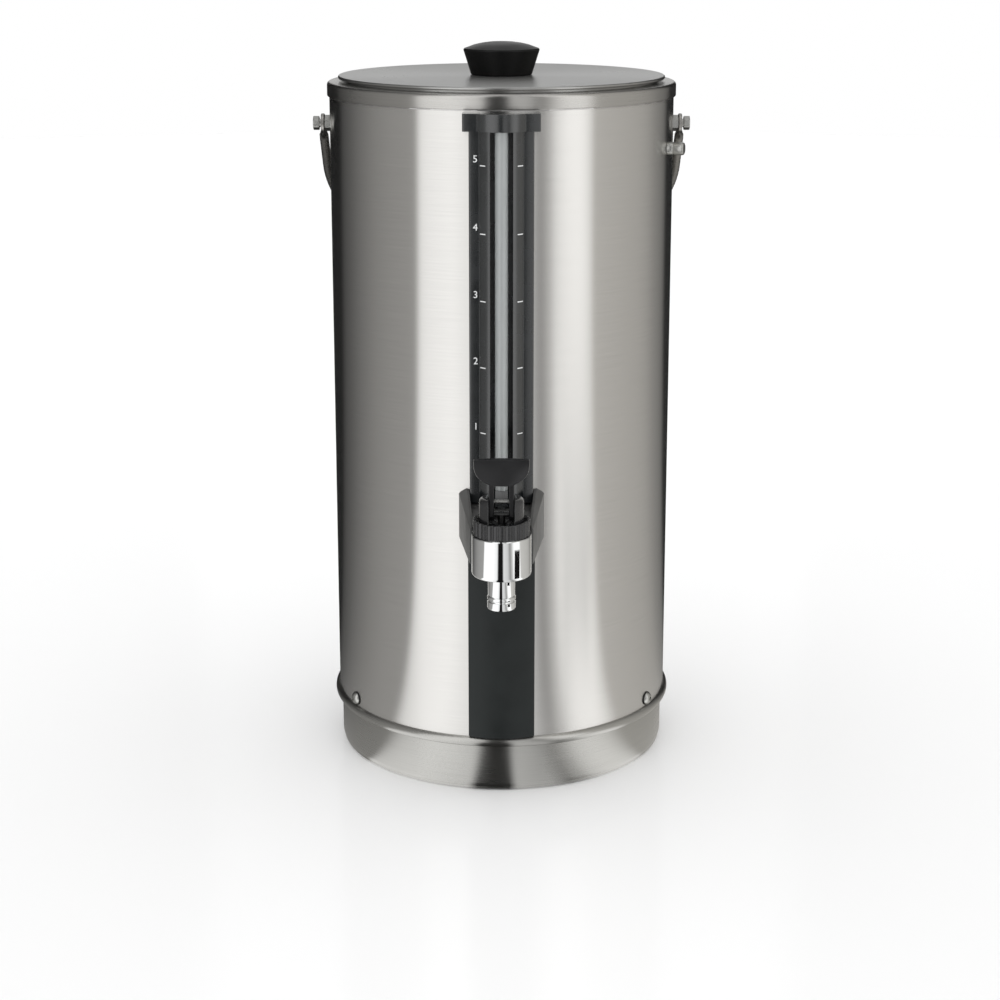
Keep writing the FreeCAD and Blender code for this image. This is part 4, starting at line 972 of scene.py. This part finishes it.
# The floor and the tent over it, in metres
FLOOR_MIRROR = 0.07
STUDIO_R = 4.0
STUDIO_HEIGHT = 3.0
STUDIO_SIDES = 96

# The camera, with its lens and sensor in millimetres and its place in metres
LENS = 74.47
SENSOR = 36.0
SHIFT = (-0.0015, -0.0932)
CAMERA_PLACE = (0.0, -1.3357, 0.5445)
CAMERA_PITCH_DEG = 13.42


def band_emission(tree):
    """Light that depends on the azimuth round the object."""
    place = place_of(tree)
    azimuth = math_node(tree, "ARCTAN2", place["X"], math_node(tree, "MULTIPLY", place["Y"], -1.0))
    turn_share = math_node(tree, "MULTIPLY_ADD", azimuth, 1 / (2 * math.pi), 0.5)
    ramp = add(tree, "ShaderNodeValToRGB")
    stops = ramp.color_ramp.elements
    while len(stops) < len(BANDS):
        stops.new(0.5)
    for stop, (azimuth_deg, _, _) in zip(stops, BANDS):
        stop.position = (azimuth_deg + 180) / 360
    top = max(level for _, level, _ in BANDS)
    for stop, (_, level, warmth) in zip(stops, BANDS):
        share = level / top
        stop.color = (share, share * (1 - 0.03 * warmth), share * (1 - 0.09 * warmth), 1)
    tree.links.new(turn_share, ramp.inputs[0])
    glow = add(tree, "ShaderNodeEmission")
    glow.inputs["Strength"].default_value = top
    tree.links.new(ramp.outputs["Color"], glow.inputs["Color"])
    return glow.outputs[0]


def plain_emission(tree, level):
    glow = add(tree, "ShaderNodeEmission")
    glow.inputs["Strength"].default_value = level
    return glow.outputs[0]


def mix_shader(tree, factor, off, on):
    node = add(tree, "ShaderNodeMixShader")
    tree.links.new(factor, node.inputs[0])
    tree.links.new(off, node.inputs[1])
    tree.links.new(on, node.inputs[2])
    return node.outputs[0]


def rear_card(tree):
    """1 on the part of the tent that the lid mirrors: behind the object and high up."""
    place = place_of(tree)
    wide = math_node(tree, "COMPARE", place["X"], 0.0, LID_CARD_HALF_W)
    behind = math_node(tree, "GREATER_THAN", place["Y"], 0.0)
    high = math_node(tree, "GREATER_THAN", place["Z"], LID_CARD_LOW)
    return math_node(tree, "MULTIPLY", math_node(tree, "MULTIPLY", wide, behind), high)


def tap_card(tree):
    """1 on a dark patch of the floor that the chrome tap mirrors."""
    place = place_of(tree)
    behind_tap = math_node(tree, "ADD", place["Y"], -TAP_Y * MM)
    forward = math_node(tree, "MULTIPLY", behind_tap, -1.0)
    turn = math_node(tree, "ARCTAN2", place["X"], forward)
    squares = math_node(tree, "ADD", math_node(tree, "POWER", place["X"], 2.0),
                        math_node(tree, "POWER", forward, 2.0))
    away = math_node(tree, "SQRT", squares)
    middle, half = math.radians(TAP_CARD_MIDDLE_DEG), math.radians(TAP_CARD_HALF_DEG)
    inside = math_node(tree, "COMPARE", turn, middle, half)
    near = math_node(tree, "COMPARE", away, TAP_CARD_AWAY, TAP_CARD_REACH)
    return math_node(tree, "MULTIPLY", inside, near)


def empty_material(name):
    """A material with no shader, its node tree, and the outputs that tell the kind of ray."""
    mat = bpy.data.materials.new(name)
    mat.use_nodes = True
    tree = mat.node_tree
    tree.nodes.clear()
    return mat, tree, add(tree, "ShaderNodeLightPath").outputs


def show(tree, shader):
    out = add(tree, "ShaderNodeOutputMaterial")
    tree.links.new(shader, out.inputs["Surface"])


def tent_material():
    mat, tree, ray = empty_material("tent")
    mirrored = mix_shader(tree, rear_card(tree), band_emission(tree), plain_emission(tree, LID_CARD_LEVEL))
    seen = mix_shader(tree, ray["Is Glossy Ray"], plain_emission(tree, SOFT_LEVEL), mirrored)
    show(tree, mix_shader(tree, ray["Is Camera Ray"], seen, plain_emission(tree, CAMERA_WHITE)))
    return mat


def floor_material():
    mat, tree, ray = empty_material("floor")
    value = noise(tree, object_coords(tree), scale=3.0)
    plain = add(tree, "ShaderNodeBsdfDiffuse")
    paint = tint(tree, value, (0.955, 0.955, 0.955), (0.965, 0.965, 0.965))
    tree.links.new(paint, plain.inputs["Color"])
    sheen = add(tree, "ShaderNodeBsdfGlossy")
    sheen.inputs["Roughness"].default_value = 0.12
    share = add(tree, "ShaderNodeMixShader")
    share.inputs[0].default_value = FLOOR_MIRROR
    tree.links.new(plain.outputs[0], share.inputs[1])
    tree.links.new(sheen.outputs[0], share.inputs[2])
    mirrored = mix_shader(tree, tap_card(tree), band_emission(tree), plain_emission(tree, TAP_CARD_LEVEL))
    show(tree, mix_shader(tree, ray["Is Glossy Ray"], share.outputs[0], mirrored))
    return mat


def build_studio():
    """A round floor under a round tent."""
    bm = bmesh.new()
    bmesh.ops.create_circle(bm, cap_ends=True, segments=STUDIO_SIDES, radius=STUDIO_R)
    floor = finish_mesh("floor", bm, floor_material())
    floor.location.z = -0.4 * MM

    bm = bmesh.new()
    spots = [on_circle(STUDIO_R, 2 * math.pi * i / STUDIO_SIDES) for i in range(STUDIO_SIDES)]
    low = [bm.verts.new((x, y, -0.01)) for x, y in spots]
    high = [bm.verts.new((x, y, STUDIO_HEIGHT)) for x, y in spots]
    bridge(bm, [low, high])
    bm.faces.new(high)
    tent = finish_mesh("tent", bm, tent_material())


def build_camera():
    data = bpy.data.cameras.new("camera")
    data.lens = LENS
    data.sensor_width = SENSOR
    data.clip_end = 50.0
    data.shift_x, data.shift_y = SHIFT
    camera = bpy.data.objects.new("camera", data)
    camera.location = CAMERA_PLACE
    camera.rotation_euler = (math.radians(90 - CAMERA_PITCH_DEG), 0.0, 0.0)
    bpy.context.scene.collection.objects.link(camera)
    bpy.context.scene.camera = camera


def set_view():
    scene = bpy.context.scene
    scene.view_settings.view_transform = "Standard"
    scene.world = bpy.data.worlds.new("world")
    scene.world.use_nodes = True
    scene.world.node_tree.nodes["Background"].inputs["Strength"].default_value = 0.0


dress_nodes()
build_jacket()
build_pan()
build_collar()
build_base_screws()
build_lid()
build_knob()
build_gauge()
build_marks()
build_lower_strip()
build_barrel()
build_nozzle()
build_ring_nut()
build_bonnet()
build_lever_pin()
build_shroud()
build_lever()
build_bail()
build_bail_bolts()
build_bail_stop()
build_studio()
build_camera()
set_view()
